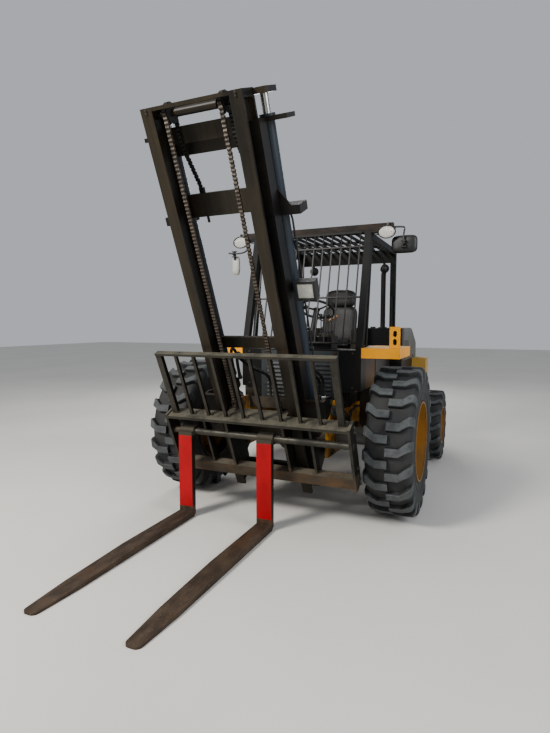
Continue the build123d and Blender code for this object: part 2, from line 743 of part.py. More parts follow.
# Seat: pedestal, cushion and high back
seat_floor = 1298
with BuildPart() as seat_base:
    block((-200, 200), (st(1060), st(1420)), (seat_floor + seat_gap, seat_floor + 70))
    for x in (-235, 225):
        block((x, x + 10), (st(1180), st(1420)), (seat_floor + 70, seat_floor + 280))
    block((-235, 235), (st(1180), st(1420)), (seat_floor + 60, seat_floor + 70))
finish(seat_base, "seat_base")
with BuildPart() as seat_cushion:
    block((-220, 220), (st(1040), st(1420)), (seat_floor + 70 + seat_gap, seat_floor + 180))
    fillet(seat_cushion.edges().group_by(Axis.Z)[-1], 30)
finish(seat_cushion, "seat_cushion")
with BuildPart() as seat_back:
    with BuildSketch(Plane.YZ):
        with BuildLine():
            Polyline(
                (st(1420 + seat_gap), seat_floor + 90),
                (st(1420 + 110), seat_floor + 90),
                (st(1420 + 210), seat_floor + 760),
                (st(1420 + 130), seat_floor + 760),
                close=True,
            )
        make_face()
    extrude(amount=220, both=True)
    fillet(seat_back.edges().group_by(Axis.Z)[-1], 30)
finish(seat_back, "seat_back")

# Steering column, wheel and the control levers
column_x = 50
column_length = 290
column = Plane(origin=(column_x, st(375), dash_top), x_dir=(1, 0, 0), z_dir=Vector(0, 0.55, 1).normalized())
with BuildPart() as steering_column:
    with Locations((column_x, st(377), dash_top + seat_gap + 30)):
        Cylinder(52, 60)
    with BuildSketch(column.offset(40)):
        Circle(30)
    extrude(amount=column_length - 40)
finish(steering_column, "steering_column")
wheel_ring = 178
with BuildPart(column.offset(column_length + 20)) as steering_wheel:
    Torus(wheel_ring, 13)
    with Locations((0, 0, -8)):
        Cylinder(34, 24)
    with PolarLocations(wheel_ring / 2, 3, 90):
        Box(wheel_ring - 10, 22, 8)
finish(steering_wheel, "steering_wheel")
with BuildPart() as control_levers:
    block((150, 295), (st(290), st(370)), (dash_top + seat_gap, dash_top + 30))
    for k in range(4):
        with Locations((165 + 37 * k, st(330), dash_top + 110)):
            Cylinder(6, 170)
        with Locations((165 + 37 * k, st(330), dash_top + 205)):
            Sphere(16)
finish(control_levers, "control_levers")

# Mirrors, lamps and the exhaust stack
# side, outboard corner x, mirror centre x and z, half width, half height
MIRRORS = ((1, 880, 925, 2390, 113, 83), (-1, 850, 850, 2300, 60, 95))
arm_y = canopy_front_top + 80
with BuildPart() as mirrors:
    for side, corner_x, centre_x, centre_z, half_w, half_h in MIRRORS:
        with BuildLine() as arm:
            FilletPolyline(
                (side * (header_half_width + seat_gap), st(arm_y), header_top - 40),
                (side * (corner_x + 30), st(arm_y), header_top - 40),
                (side * (corner_x + 30), st(arm_y - 20), centre_z),
                radius=25,
            )
        with BuildSketch(Plane(origin=arm.line @ 0, z_dir=arm.line % 0)):
            Circle(9)
        sweep(path=arm.line)
        block((side * (centre_x - half_w), side * (centre_x + half_w)), (st(arm_y - 62), st(arm_y - 28)),
              (centre_z - half_h, centre_z + half_h))
finish(mirrors, "mirrors")
# x, station, height, radius
LAMPS = ((745, 440, 2500, 62), (-745, 440, 2500, 62))
REAR_LAMPS = ((-416, 1745, 2306, 52), (480, 1745, 2306, 52))
with BuildPart() as work_lamps:
    for x, y, z, r in LAMPS + REAR_LAMPS:
        with Locations(Location((x, st(y), z), (90, 0, 0))):
            Cylinder(r, 70)
    for x, y, z, r in LAMPS:
        block((x - 12, x + 12), (st(y), st(canopy_front_top + 50 - seat_gap)), (z + 20, z + 60))
    for x, y, z, r in REAR_LAMPS:
        block((x - 12, x + 12), (st(y - 12), st(y + 12)),
              (z + 40, canopy_rail_top - rear_beam_depth - seat_gap))
finish(work_lamps, "work_lamps")
stack_x = 451
stack_y = 1850
with BuildPart() as exhaust_stack:
    with BuildLine() as stack_line:
        FilletPolyline(
            (stack_x, st(stack_y), hood_top + seat_gap),
            (stack_x, st(stack_y), 2260),
            (stack_x, st(stack_y + 110), 2330),
            radius=70,
        )
    with BuildSketch(Plane(origin=stack_line.line @ 0, z_dir=stack_line.line % 0)):
        Circle(30)
        Circle(26, mode=Mode.SUBTRACT)
    sweep(path=stack_line.line)
    with Locations((stack_x, st(stack_y), hood_top + seat_gap + 6)):
        Cylinder(52, 12)
finish(exhaust_stack, "exhaust_stack")

# Outer mast: two channels that open inward, tied across, with the pivot ears below
outer_back_q = outer_front_q + outer_depth
pivot_q, pivot_s = on_mast(pivot_station, pivot_height)
channel_lip_x = 332
mast_pin_s = 1000
mast_pin_q = 270
barrel_x = 372
barrel_q = 294
barrel_radius = 44
barrel_bore = 34
rod_radius = 27
barrel_foot_s = 700
barrel_top_s = 3105
collar_s = 2510
collar_height = 60
collar_x = 535
gusset_top_s = 2718
with BuildPart(mast) as outer_mast:
    with BuildSketch(mast.offset(rail_bottom)):
        with BuildLine():
            Polyline(
                (channel_lip_x, outer_front_q),
                (outer_web_x + outer_web, outer_front_q),
                (outer_web_x + outer_web, outer_back_q),
                (channel_lip_x, outer_back_q),
                (channel_lip_x, outer_back_q - flange),
                (outer_web_x, outer_back_q - flange),
                (outer_web_x, outer_front_q + flange),
                (channel_lip_x, outer_front_q + flange),
                close=True,
            )
        make_face()
    extrude(amount=outer_rail_top - rail_bottom)
    # pivot ears
    with BuildSketch(mast_side(ear_x - ear_plate)):
        with BuildLine():
            Polyline(
                (outer_back_q - 5, pivot_s - 120),
                (outer_back_q - 5, pivot_s + 120),
                (pivot_q + 30, pivot_s + 62),
                (pivot_q + 68, pivot_s + 20),
                (pivot_q + 68, pivot_s - 30),
                (pivot_q + 20, pivot_s - 66),
                close=True,
            )
        make_face()
        with Locations((pivot_q, pivot_s)):
            Circle(pivot_pin_radius + pin_clearance, mode=Mode.SUBTRACT)
    extrude(amount=ear_plate)
    # lugs for the tilt cylinders
    for x in (tilt_x - tilt_eye_half - running_clearance - 14, tilt_x + tilt_eye_half + running_clearance):
        with BuildSketch(mast_side(x)):
            with BuildLine():
                Polyline(
                    (outer_front_q + 10, mast_pin_s - 90),
                    (outer_front_q + 10, mast_pin_s + 90),
                    (outer_back_q - 30, mast_pin_s + 90),
                    (mast_pin_q + 36, mast_pin_s + 30),
                    (mast_pin_q + 36, mast_pin_s - 30),
                    (outer_back_q - 30, mast_pin_s - 90),
                    close=True,
                )
            make_face()
            with Locations((mast_pin_q, mast_pin_s)):
                Circle(tilt_pin_radius + 12, mode=Mode.SUBTRACT)
        extrude(amount=14)
    block((ear_x - 2, tilt_x + tilt_eye_half + running_clearance + 14),
          (outer_front_q + 10, outer_front_q + 40), (mast_pin_s - 90, mast_pin_s + 90))
    # feet and collars of the lift cylinders
    block((outer_web_x - 50, frame_x - running_clearance), (outer_back_q - 2, barrel_q + 50),
          (barrel_foot_s - 30, barrel_foot_s - seat_gap))
    for s, height in ((collar_s, collar_height), (barrel_top_s - 18, 28)):
        block((channel_lip_x, collar_x), (outer_back_q - 2, barrel_q + 62), (s, s + height))
    with BuildSketch(Plane(mast.from_local_coords((0, outer_back_q + 12, 0)), (1, 0, 0), -mast.y_dir)):
        with BuildLine():
            Polyline(
                (outer_web_x, collar_s + collar_height - 1),
                (collar_x - 60, collar_s + collar_height - 1),
                (outer_web_x, gusset_top_s),
                close=True,
            )
        make_face()
    extrude(amount=14)
    with Locations((barrel_x, barrel_q, (collar_s + barrel_top_s) / 2)):
        Cylinder(barrel_radius + seat_gap, barrel_top_s - collar_s + 60, mode=Mode.SUBTRACT)
    mirror(about=Plane.YZ)
    # cross members behind the inner rails: bottom s, height
    for s, height in ((2968, 75), (2552, 160), (1500, 95), (640, 140), (260, 90)):
        block((-outer_web_x - 4, outer_web_x + 4), (outer_back_q - 2, outer_back_q + 26), (s, s + height))
finish(outer_mast, "outer_mast")

# Lift cylinders: barrels stand on the outer mast, rods hang from the inner mast head
gland_s = barrel_top_s + 25
with BuildPart(mast) as lift_barrels:
    with Locations((barrel_x, barrel_q, (barrel_foot_s + gland_s) / 2)):
        Cylinder(barrel_radius, gland_s - barrel_foot_s)
    with Locations((barrel_x, barrel_q, (barrel_top_s + 10 + seat_gap + gland_s) / 2)):
        Cylinder(barrel_radius + 8, gland_s - barrel_top_s - 10 - seat_gap)
    with Locations((barrel_x, barrel_q, (barrel_foot_s + 40 + gland_s - 30) / 2)):
        Cylinder(barrel_bore, gland_s - 30 - barrel_foot_s - 40, mode=Mode.SUBTRACT)
    with Locations((barrel_x, barrel_q, gland_s - 20)):
        Cylinder(rod_radius + pin_clearance, 60, mode=Mode.SUBTRACT)
    mirror(about=Plane.YZ)
finish(lift_barrels, "lift_barrels")
sheave_q = 82
sheave_s = inner_rail_top - 8
sheave_radius = 52
sheave_axle_radius = 18
chain_x = 200
chain_half = 7

# Inner mast: two I-section rails under a deep head, with the rod lugs
web_x = rail_inner_x + rail_width / 2
rail_outer_x = rail_inner_x + rail_width
head_top = inner_rail_top + 45
head_plate = 22
inner_cross_s = (3045, 3152)
mast_roller_radius = outer_depth / 2 - flange - seat_gap
with BuildPart(mast) as inner_mast:
    with BuildSketch(mast.offset(rail_bottom)):
        with Locations((web_x, flange / 2), (web_x, rail_depth - flange / 2)):
            Rectangle(rail_width, flange)
        with Locations((web_x, rail_depth / 2)):
            Rectangle(web, rail_depth - 2)
        with Locations((web_x + 22, rail_depth - flange / 2)):
            Rectangle(rail_width - 40, flange, mode=Mode.ADD)
    extrude(amount=inner_rail_top - rail_bottom)
    # rollers that run in the outer channels
    for s in (rail_bottom + 180, rail_bottom + 620):
        tube_x((web_x, outer_web_x - running_clearance), outer_front_q + outer_depth / 2, s,
               mast_roller_radius)
    mirror(about=Plane.YZ)
    # head: front and rear plates and the caps over the rails
    block((-rail_outer_x, rail_outer_x), (0, flange), (head_top - head_plate, head_top))
    block((-rail_outer_x, rail_outer_x), (rail_depth - 30, rail_depth), (inner_rail_top - 15, head_top))
    for side in (1, -1):
        block((side * rail_inner_x, side * rail_outer_x), (0, rail_depth), (inner_rail_top - 4, head_top))
    for side in (1, -1):
        block((side * (rail_inner_x + 10), side * 440), (rail_depth - 10, barrel_q + 50),
              (inner_rail_top + 5, inner_rail_top + 40))
    # upper cross member and foot bar
    block((-rail_inner_x - 5, rail_inner_x + 5), (rail_depth - 22, rail_depth), inner_cross_s)
    block((-rail_inner_x - 30, rail_inner_x + 30), (rail_depth - 40, rail_depth),
          (rail_bottom, rail_bottom + 110))
    # sheave axle
    tube_x((-rail_inner_x - 30, rail_inner_x + 30), sheave_q, sheave_s, sheave_axle_radius)
finish(inner_mast, "inner_mast")
rod_top_s = inner_rail_top + 5
with BuildPart(mast) as lift_rods:
    with Locations((barrel_x, barrel_q, (barrel_foot_s + 190 + rod_top_s - seat_gap) / 2)):
        Cylinder(rod_radius, rod_top_s - seat_gap - barrel_foot_s - 190)
    mirror(about=Plane.YZ)
finish(lift_rods, "lift_rods")

# Chain sheaves and the front runs of the lift chains
with BuildPart(mast) as chain_sheaves:
    for side in (1, -1):
        tube_x((side * (chain_x - 18), side * (chain_x + 18)), sheave_q, sheave_s, sheave_radius)
        tube_x((side * (chain_x - 20), side * (chain_x + 20)), sheave_q, sheave_s,
               sheave_axle_radius + seat_gap, mode=Mode.SUBTRACT)
finish(chain_sheaves, "chain_sheaves")
chain_q = sheave_q - sheave_radius - chain_half - seat_gap
with BuildPart(mast) as lift_chains:
    for side in (1, -1):
        block((side * (chain_x - 14), side * (chain_x + 14)), (chain_q - chain_half, chain_q + chain_half),
              (carriage_top_s + seat_gap, sheave_s))
finish(lift_chains, "lift_chains")

# Carriage: end plates, roller plates, top plate and lower bar
shaft_q, shaft_s = on_mast(heel_station + fork_thickness + fork_eye_set_back, fork_eye_drop)
bar_front_q = shaft_q - fork_eye_set_back + running_clearance
plate_q = (bar_front_q - 34, -12)
end_plate = 22
top_plate = 25
roller_plate_x = 262
roller_radius = rail_depth / 2 - flange - seat_gap
with BuildPart(mast) as carriage:
    # top plate and lower bar
    block((-carriage_half_width, carriage_half_width), plate_q, (carriage_top_s - top_plate, carriage_top_s))
    block((-carriage_half_width, carriage_half_width), (bar_front_q, bar_front_q + carriage_bar_depth),
          (carriage_bar_s - carriage_bar_height, carriage_bar_s))
    for x in (-carriage_half_width, carriage_half_width - end_plate):
        block((x, x + end_plate), plate_q, (carriage_bar_s - carriage_bar_height, carriage_top_s + 10))
    for side in (1, -1):
        block((side * (roller_plate_x - end_plate), side * roller_plate_x), (bar_front_q, 120),
              (carriage_bar_s - 60, carriage_top_s))
        for s in (carriage_bar_s + 20, carriage_top_s - 90):
            tube_x((side * (roller_plate_x - 4), side * (roller_plate_x + 40)), rail_depth / 2, s,
                   roller_radius)
    block((-roller_plate_x, roller_plate_x), (-14, 50), (carriage_top_s - 30, carriage_top_s))
    for x in (-470, 470):
        block((x - 10, x + 10), (bar_front_q + 20, -12), (carriage_bar_s - 10, carriage_top_s - 10))
    tube_x((-carriage_half_width - 1, carriage_half_width + 1), shaft_q, shaft_s,
           fork_shaft_radius + seat_gap, mode=Mode.SUBTRACT)
finish(carriage, "carriage")
with BuildPart(mast) as fork_shaft:
    tube_x((-carriage_half_width, carriage_half_width), shaft_q, shaft_s, fork_shaft_radius)
finish(fork_shaft, "fork_shaft")

# Load guard: ten uprights and a flat top rail on the top plate
guard_q = -86
with BuildPart(mast) as load_guard:
    pitch = (2 * guard_half_width - 50) / 9
    for k in range(10):
        x = -guard_half_width + 25 + k * pitch
        w = 25 if k in (0, 9) else 12
        block((x - w, x + w), (guard_q - 6, guard_q + 6 + w), (carriage_top_s + seat_gap, guard_top_s))
    block((-guard_half_width, guard_half_width), (guard_q - 12, guard_q + 38),
          (guard_top_s - 20, guard_top_s))
finish(load_guard, "load_guard")

# Forks: an eye round the shaft, an upright shank and a tapered blade
eye_radius = fork_shaft_radius + 18
shank_back = heel_station + fork_thickness
eye_station = shank_back + fork_eye_set_back
tip_thickness = 14
tip_station = heel_station - blade_length
tip_taper = 330
tip_half = 48
tip_round = 34
for name, x in (("fork_left", fork_left_x), ("fork_right", fork_right_x)):
    with BuildPart() as fork:
        with BuildSketch(Plane.YZ.offset(x - fork_width / 2)):
            with BuildLine():
                Polyline(
                    (st(heel_station - blade_length), 0),
                    (st(shank_back - 30), 0),
                    (st(shank_back), 30),
                    (st(shank_back), fork_eye_drop),
                    (st(heel_station), fork_eye_drop),
                    (st(heel_station), fork_thickness),
                    (st(heel_station - blade_length * 0.45), fork_thickness),
                    (st(heel_station - blade_length), tip_thickness),
                    close=True,
                )
            make_face()
            with Locations((st(eye_station), fork_eye_drop)):
                Circle(eye_radius)
                Circle(fork_shaft_radius + pin_clearance, mode=Mode.SUBTRACT)
        extrude(amount=fork_width)
        # the blade narrows to a rounded tip
        with BuildSketch() as tip:
            with BuildLine():
                Polyline(
                    (x - fork_width / 2, st(0)),
                    (x - fork_width / 2, st(tip_station + tip_taper)),
                    (x - tip_half, st(tip_station)),
                    (x + tip_half, st(tip_station)),
                    (x + fork_width / 2, st(tip_station + tip_taper)),
                    (x + fork_width / 2, st(0)),
                    close=True,
                )
            make_face()
            fillet(tip.vertices().group_by(Axis.Y)[0], tip_round)
        extrude(amount=1000, mode=Mode.INTERSECT)
    finish(fork, name)

# Tilt cylinders: barrels pinned to the frame, rods pinned to the outer mast
pin_point = mast.from_local_coords((0, mast_pin_q, mast_pin_s))
anchor = Vector(0, st(tilt_anchor_station), tilt_anchor_height)
reach = Vector(0, pin_point.Y, pin_point.Z) - anchor
tilt_line = Plane(origin=anchor + Vector(tilt_x, 0, 0), x_dir=(1, 0, 0), z_dir=reach.normalized())
tilt_barrel_start = 80
tilt_barrel_end = 600
tilt_barrel_radius = 38
tilt_bore = 31
tilt_rod_radius = 20
with BuildPart(tilt_line) as tilt_barrels:
    with Locations((0, 0, (tilt_barrel_start + tilt_barrel_end) / 2)):
        Cylinder(tilt_barrel_radius, tilt_barrel_end - tilt_barrel_start)
    with Locations((0, 0, tilt_barrel_start / 2)):
        Cylinder(24, tilt_barrel_start + 2)
    with Locations(Location((0, 0, 0), (0, 90, 0))):
        Cylinder(42, 2 * tilt_eye_half)
        Cylinder(tilt_pin_radius + pin_clearance, 2 * tilt_eye_half + 10, mode=Mode.SUBTRACT)
    with Locations((0, 0, (tilt_barrel_start + tilt_barrel_end) / 2)):
        Cylinder(tilt_bore, tilt_barrel_end - tilt_barrel_start - 30, mode=Mode.SUBTRACT)
    with Locations((0, 0, tilt_barrel_end)):
        Cylinder(tilt_rod_radius + pin_clearance, 60, mode=Mode.SUBTRACT)
    mirror(about=Plane.YZ)
finish(tilt_barrels, "tilt_barrels")
piston_start = tilt_barrel_start + 15 + 305
with BuildPart(tilt_line) as tilt_rods:
    with Locations((0, 0, (reach.length + piston_start) / 2)):
        Cylinder(tilt_rod_radius, reach.length - piston_start)
    with Locations((0, 0, piston_start + 15)):
        Cylinder(tilt_bore - pin_clearance, 30)
    with Locations(Location((0, 0, reach.length), (0, 90, 0))):
        Cylinder(38, 2 * tilt_eye_half)
        Cylinder(tilt_pin_radius, 2 * tilt_eye_half + 44)
    mirror(about=Plane.YZ)
finish(tilt_rods, "tilt_rods")

# Mast lamp on its bracket
with BuildPart(mast) as mast_lamp:
    block((430, 580), (170, 240), (1915, 2055))
    block((barrel_x + barrel_radius + seat_gap, 445), (230, barrel_q + 20), (1955, 2015))
finish(mast_lamp, "mast_lamp")
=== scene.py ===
import json
import math
import random
from collections import namedtuple

import bmesh
import bpy
from mathutils import Matrix, Vector


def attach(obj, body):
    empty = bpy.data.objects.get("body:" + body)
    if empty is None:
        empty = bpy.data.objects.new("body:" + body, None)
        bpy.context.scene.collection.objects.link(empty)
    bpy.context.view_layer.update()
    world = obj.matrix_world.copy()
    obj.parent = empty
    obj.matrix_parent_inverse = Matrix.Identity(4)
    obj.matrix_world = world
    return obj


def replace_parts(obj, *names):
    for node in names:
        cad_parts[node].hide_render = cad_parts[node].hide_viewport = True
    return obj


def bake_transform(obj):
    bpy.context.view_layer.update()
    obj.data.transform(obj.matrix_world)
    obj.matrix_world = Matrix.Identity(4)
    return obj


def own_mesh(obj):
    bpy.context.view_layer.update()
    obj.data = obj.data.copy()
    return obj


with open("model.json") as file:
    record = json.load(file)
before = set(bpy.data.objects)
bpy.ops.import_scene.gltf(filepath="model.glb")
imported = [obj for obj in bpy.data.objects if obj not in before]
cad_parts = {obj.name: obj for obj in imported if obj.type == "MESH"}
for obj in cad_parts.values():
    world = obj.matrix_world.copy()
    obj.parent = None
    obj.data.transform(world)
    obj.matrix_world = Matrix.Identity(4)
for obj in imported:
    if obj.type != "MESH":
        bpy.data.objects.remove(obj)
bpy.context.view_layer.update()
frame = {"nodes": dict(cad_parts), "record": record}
nodes = frame["nodes"]
rng = random.Random(7)

SIDES = (1, -1)
ACROSS, REAR, UP = Vector((1, 0, 0)), Vector((0, 1, 0)), Vector((0, 0, 1))
# Places that part.py states too, in metres
AXLE_Y = -0.268
TILT = math.radians(24.33)
MAST_UP = Vector((0, -math.sin(TILT), math.cos(TILT)))
MAST_BACK = Vector((0, math.cos(TILT), math.sin(TILT)))
MAST_FOOT = Vector((0, AXLE_Y - 0.358, 0))
SHEAVE_Q, SHEAVE_S, SHEAVE_R, CHAIN_X = 0.082, 3.232, 0.052, 0.200
CARRIAGE_TOP = 1.020
HOOD_HALF = 0.700
DASH_TOP = 1.520
# centre x, centre z, half width, half height
MIRROR_HEADS = ((0.925, 2.390, 0.120, 0.083), (-0.862, 2.272, 0.043, 0.100))
MIRROR_Y = AXLE_Y + 0.4985


def st(d):
    """Y of a station, a distance in metres rearward of the front axle."""
    return AXLE_Y + d


def at(x, d, z):
    """A point given by its station instead of its y."""
    return Vector((x, st(d), z))


def mast(x, q, s):
    """A point given across, through and along the tilted mast."""
    return MAST_FOOT + Vector((x, 0, 0)) + MAST_BACK * q + MAST_UP * s


def turns(count, offset=0.0):
    """Equal steps round a full turn."""
    return [2 * math.pi * (k + offset) / count for k in range(count)]


def spoke(u, w, angle):
    """The direction at an angle from u toward w."""
    return u * math.cos(angle) + w * math.sin(angle)


def rgb(r, g, b):
    """Linear colour of three sRGB bytes."""
    def lin(c):
        c /= 255
        return c / 12.92 if c <= 0.04045 else ((c + 0.055) / 1.055) ** 2.4

    return (lin(r), lin(g), lin(b), 1.0)


class Graph:
    """Node tree helper for one material."""

    def __init__(self, name):
        self.mat = bpy.data.materials.new(name)
        self.mat.use_nodes = True
        self.tree = self.mat.node_tree
        self.nodes = self.tree.nodes
        self.bsdf = self.nodes["Principled BSDF"]
        self.coord = self.nodes.new("ShaderNodeTexCoord").outputs["Object"]
        self.normal = self.nodes.new("ShaderNodeNewGeometry").outputs["Normal"]

    def link(self, a, b):
        self.tree.links.new(a, b)

    def feed(self, socket, value):
        """Links a socket to another one, or gives it a constant."""
        if isinstance(value, bpy.types.NodeSocket):
            self.link(value, socket)
        else:
            socket.default_value = value

    def set(self, socket, value):
        self.feed(self.bsdf.inputs[socket], value)

    def mapping(self, scale=(1, 1, 1), lean=False):
        """Object coordinates, scaled, first turned upright on the mast if lean is set."""
        out = self.coord
        settings = [("Rotation", (-TILT, 0, 0))] if lean else []
        for socket, value in settings + [("Scale", scale)]:
            m = self.nodes.new("ShaderNodeMapping")
            m.inputs[socket].default_value = value
            self.link(out, m.inputs["Vector"])
            out = m.outputs["Vector"]
        return out

    def place(self, axis):
        """The X, Y or Z object coordinate."""
        n = self.nodes.new("ShaderNodeSeparateXYZ")
        self.link(self.coord, n.inputs[0])
        return n.outputs[axis]

    def off_centre(self):
        """Distance from the machine's middle plane."""
        return self.math("ABSOLUTE", self.place("X"))

    def noise(self, scale, detail=4, rough=0.55, stretch=(1, 1, 1), lean=False):
        n = self.nodes.new("ShaderNodeTexNoise")
        for socket, value in (("Scale", scale), ("Detail", detail), ("Roughness", rough)):
            n.inputs[socket].default_value = value
        self.link(self.mapping(stretch, lean), n.inputs["Vector"])
        return n.outputs["Fac"]

    def map_range(self, fac, ends, kind="LINEAR"):
        n = self.nodes.new("ShaderNodeMapRange")
        n.interpolation_type = kind
        for socket, value in ends.items():
            n.inputs[socket].default_value = value
        self.link(fac, n.inputs["Value"])
        return n.outputs["Result"]

    def ramp(self, fac, low, high):
        """0 below low, 1 above high."""
        return self.map_range(fac, {"From Min": low, "From Max": high}, "SMOOTHSTEP")

    def span(self, fac, low, high):
        """Maps 0..1 to low..high."""
        return self.map_range(fac, {"To Min": low, "To Max": high})

    def math(self, op, *values):
        n = self.nodes.new("ShaderNodeMath")
        n.operation = op
        n.use_clamp = op in ("MULTIPLY", "ADD", "SUBTRACT")
        for socket, value in zip(n.inputs, values):
            self.feed(socket, value)
        return n.outputs["Value"]

    def times(self, a, b):
        return self.math("MULTIPLY", a, b)

    def most(self, a, b):
        return self.math("MAXIMUM", a, b)

    def rest(self, a):
        """One less the value."""
        return self.math("SUBTRACT", 1.0, a)

    def mix(self, fac, a, b):
        n = self.nodes.new("ShaderNodeMix")
        n.data_type = "RGBA"
        for socket, value in ((n.inputs["Factor"], fac), (n.inputs[6], a), (n.inputs[7], b)):
            self.feed(socket, value)
        return n.outputs[2]

    def drift(self, fac, a, b, low=0.35, high=0.7):
        """Drifts from one sRGB colour to another."""
        return self.mix(self.ramp(fac, low, high), rgb(*a), rgb(*b))

    def dot(self, a, b):
        n = self.nodes.new("ShaderNodeVectorMath")
        n.operation = "DOT_PRODUCT"
        self.link(a, n.inputs[0])
        self.feed(n.inputs[1], b)
        return n.outputs["Value"]

    def facing(self, direction):
        """How far the object-space normal points along a direction, 0 to 1."""
        return self.dot(self.nodes.new("ShaderNodeTexCoord").outputs["Normal"], direction)

    def dust_above(self, scale, amount, face=(0.4, 1.0), patch=(0.3, 0.6)):
        """Patchy dust on faces that look up."""
        cloud = self.ramp(self.noise(scale, 6, 0.7), *patch)
        return self.times(self.ramp(self.facing((0, 0, 1)), *face), self.span(cloud, *amount))

    def edges(self, radius=0.006):
        """1 on worn convex or concave edges, 0 on flat faces."""
        bevel = self.nodes.new("ShaderNodeBevel")
        bevel.samples = 4
        bevel.inputs["Radius"].default_value = radius
        return self.ramp(self.rest(self.dot(bevel.outputs["Normal"], self.normal)), 0.02, 0.25)

    def worn_edges(self, radius, scale, detail, low, high):
        return self.times(self.edges(radius), self.ramp(self.noise(scale, detail, 0.72), low, high))

    def bump(self, *layers):
        """Chained bumps: (height, distance in metres, strength)."""
        last = None
        for height, distance, strength in layers:
            n = self.nodes.new("ShaderNodeBump")
            n.inputs["Distance"].default_value = distance
            n.inputs["Strength"].default_value = strength
            self.link(height, n.inputs["Height"])
            if last is not None:
                self.link(last, n.inputs["Normal"])
            last = n.outputs["Normal"]
        self.link(last, self.bsdf.inputs["Normal"])


FRONT = tuple(-MAST_BACK)


def paint(name, base, shade, dust, worn, dusty=0.5, streak=0.35, chips=0.5, lean=False, front=0.0,
          edge=0.006, specular=0.5, fade=None, reach=None, inboard=None):
    """Weathered enamel: tone drift, streaks, settled dust, dust with painted sunlight on front faces, and
    chips down to worn metal or rust.
    """
    g = Graph(name)
    dust, worn = rgb(*dust), rgb(*worn)
    drift = g.noise(1.7, 5, 0.6)
    colour = g.drift(drift, base, shade, 0.35, 0.68)
    # run-off streaks along the height
    runs = g.ramp(g.noise(7.0, 6, 0.62, (1, 1, 0.09), lean), 0.50, 0.68)
    colour = g.mix(g.times(runs, streak), colour, dust)
    # dust on faces that look up, and dust with painted sunlight on the front of the mast
    up = g.ramp(g.facing((0, 0, 1)), 0.35, 0.95)
    cloud = g.ramp(g.noise(9.0, 6, 0.65), 0.33, 0.62)
    dust_and_sunlight = g.times(g.times(up, g.span(cloud, 0.45, 1.0)), dusty)
    film = g.times(g.ramp(g.noise(3.3, 5, 0.7), 0.38, 0.75), dusty * 0.35)
    dust_and_sunlight = g.most(dust_and_sunlight, film)
    if front:
        # painted sunlight: faces that look forward are lightened with the dust colour, as the sun lit them
        look = g.ramp(g.facing(FRONT), 0.55, 0.95)
        patch = g.ramp(g.noise(6.0, 7, 0.68, (1, 1, 0.16), lean), 0.30, 0.60)
        fine = g.ramp(g.noise(34.0, 6, 0.7, (1, 1, 0.06), lean), 0.38, 0.62)
        patch = g.times(g.span(patch, 0.25, 1.0), g.span(fine, 0.62, 1.0))
        if fade:
            # the front patch of dust and painted sunlight thins out toward the foot
            ragged = g.math("ADD", g.place("Z"), g.times(g.noise(5.0, 6, 0.7), 0.5))
            high = g.ramp(ragged, fade[0] + 0.25, fade[1] + 0.25)
            patch = g.times(patch, g.span(high, 0.16, 1.0))
        if reach:
            # and lies only between the rails; beyond them the outer rails' fronts keep painted shade
            near = g.rest(g.ramp(g.off_centre(), reach, reach + 0.002))
            patch = g.times(patch, g.span(near, 0.08, 1.0))
        dust_and_sunlight = g.most(dust_and_sunlight, g.times(g.times(look, patch), front))
    colour = g.mix(dust_and_sunlight, colour, dust)
    # chips
    grit = g.noise(26, 7, 0.72)
    at_edge = g.times(g.edges(edge), g.ramp(grit, 0.42, 0.52))
    spots = g.times(g.ramp(g.noise(14.3, 8, 0.75), 0.66, 0.70), g.ramp(drift, 0.45, 0.55))
    bare = g.times(g.most(at_edge, spots), chips)
    rusty = g.mix(g.ramp(g.noise(40, 4, 0.6), 0.4, 0.6), worn, rgb(70, 48, 34))
    colour = g.mix(bare, colour, rusty)
    if inboard:
        # painted shade: the side that faces the machine is darkened
        colour = g.mix(g.ramp(g.off_centre(), inboard, inboard + 0.03), rgb(24, 20, 15), colour)
    g.set("Base Color", colour)
    g.set("Roughness", g.span(g.most(dust_and_sunlight, g.times(bare, 0.8)), 0.42, 0.8))
    g.set("Specular IOR Level", specular)
    g.bump((grit, 0.0006, 0.35), (g.rest(bare), 0.0008, 0.5), (g.noise(2.6, 3, 0.5), 0.004, 0.12))
    return g.mat


def bare_metal(name, base, shade, rust, rough, metallic, rust_low, scale, stretch=(1, 1, 1), lean=False,
               bump=0.0005):
    """Steel with rust in drifting patches."""
    g = Graph(name)
    tone = g.noise(scale, 6, 0.6, stretch, lean)
    patch = g.ramp(g.noise(scale * 0.35, 8, 0.7, stretch, lean), rust_low, rust_low + 0.13)
    g.set("Base Color", g.mix(patch, g.drift(tone, base, shade, 0.35, 0.65), rgb(*rust)))
    g.set("Roughness", g.span(g.most(patch, g.ramp(tone, 0.3, 0.8)), *rough))
    g.set("Metallic", g.span(patch, metallic, 0.15))
    g.bump((g.noise(scale * 8, 5, 0.65), bump, 0.5), (tone, 0.001, 0.3))
    return g.mat


def plastic(name, base, shade, rough, grain, dust=None):
    g = Graph(name)
    tone = g.noise(6.0, 4, 0.6)
    colour = g.drift(tone, base, shade)
    if dust:
        colour = g.mix(g.dust_above(14, (0.2, 0.75), (0.3, 0.9)), colour, rgb(*dust))
    g.set("Base Color", colour)
    g.set("Roughness", g.span(tone, rough - 0.08, rough + 0.12))
    g.bump((g.noise(grain, 3, 0.5), 0.0003, 0.35))
    return g.mat


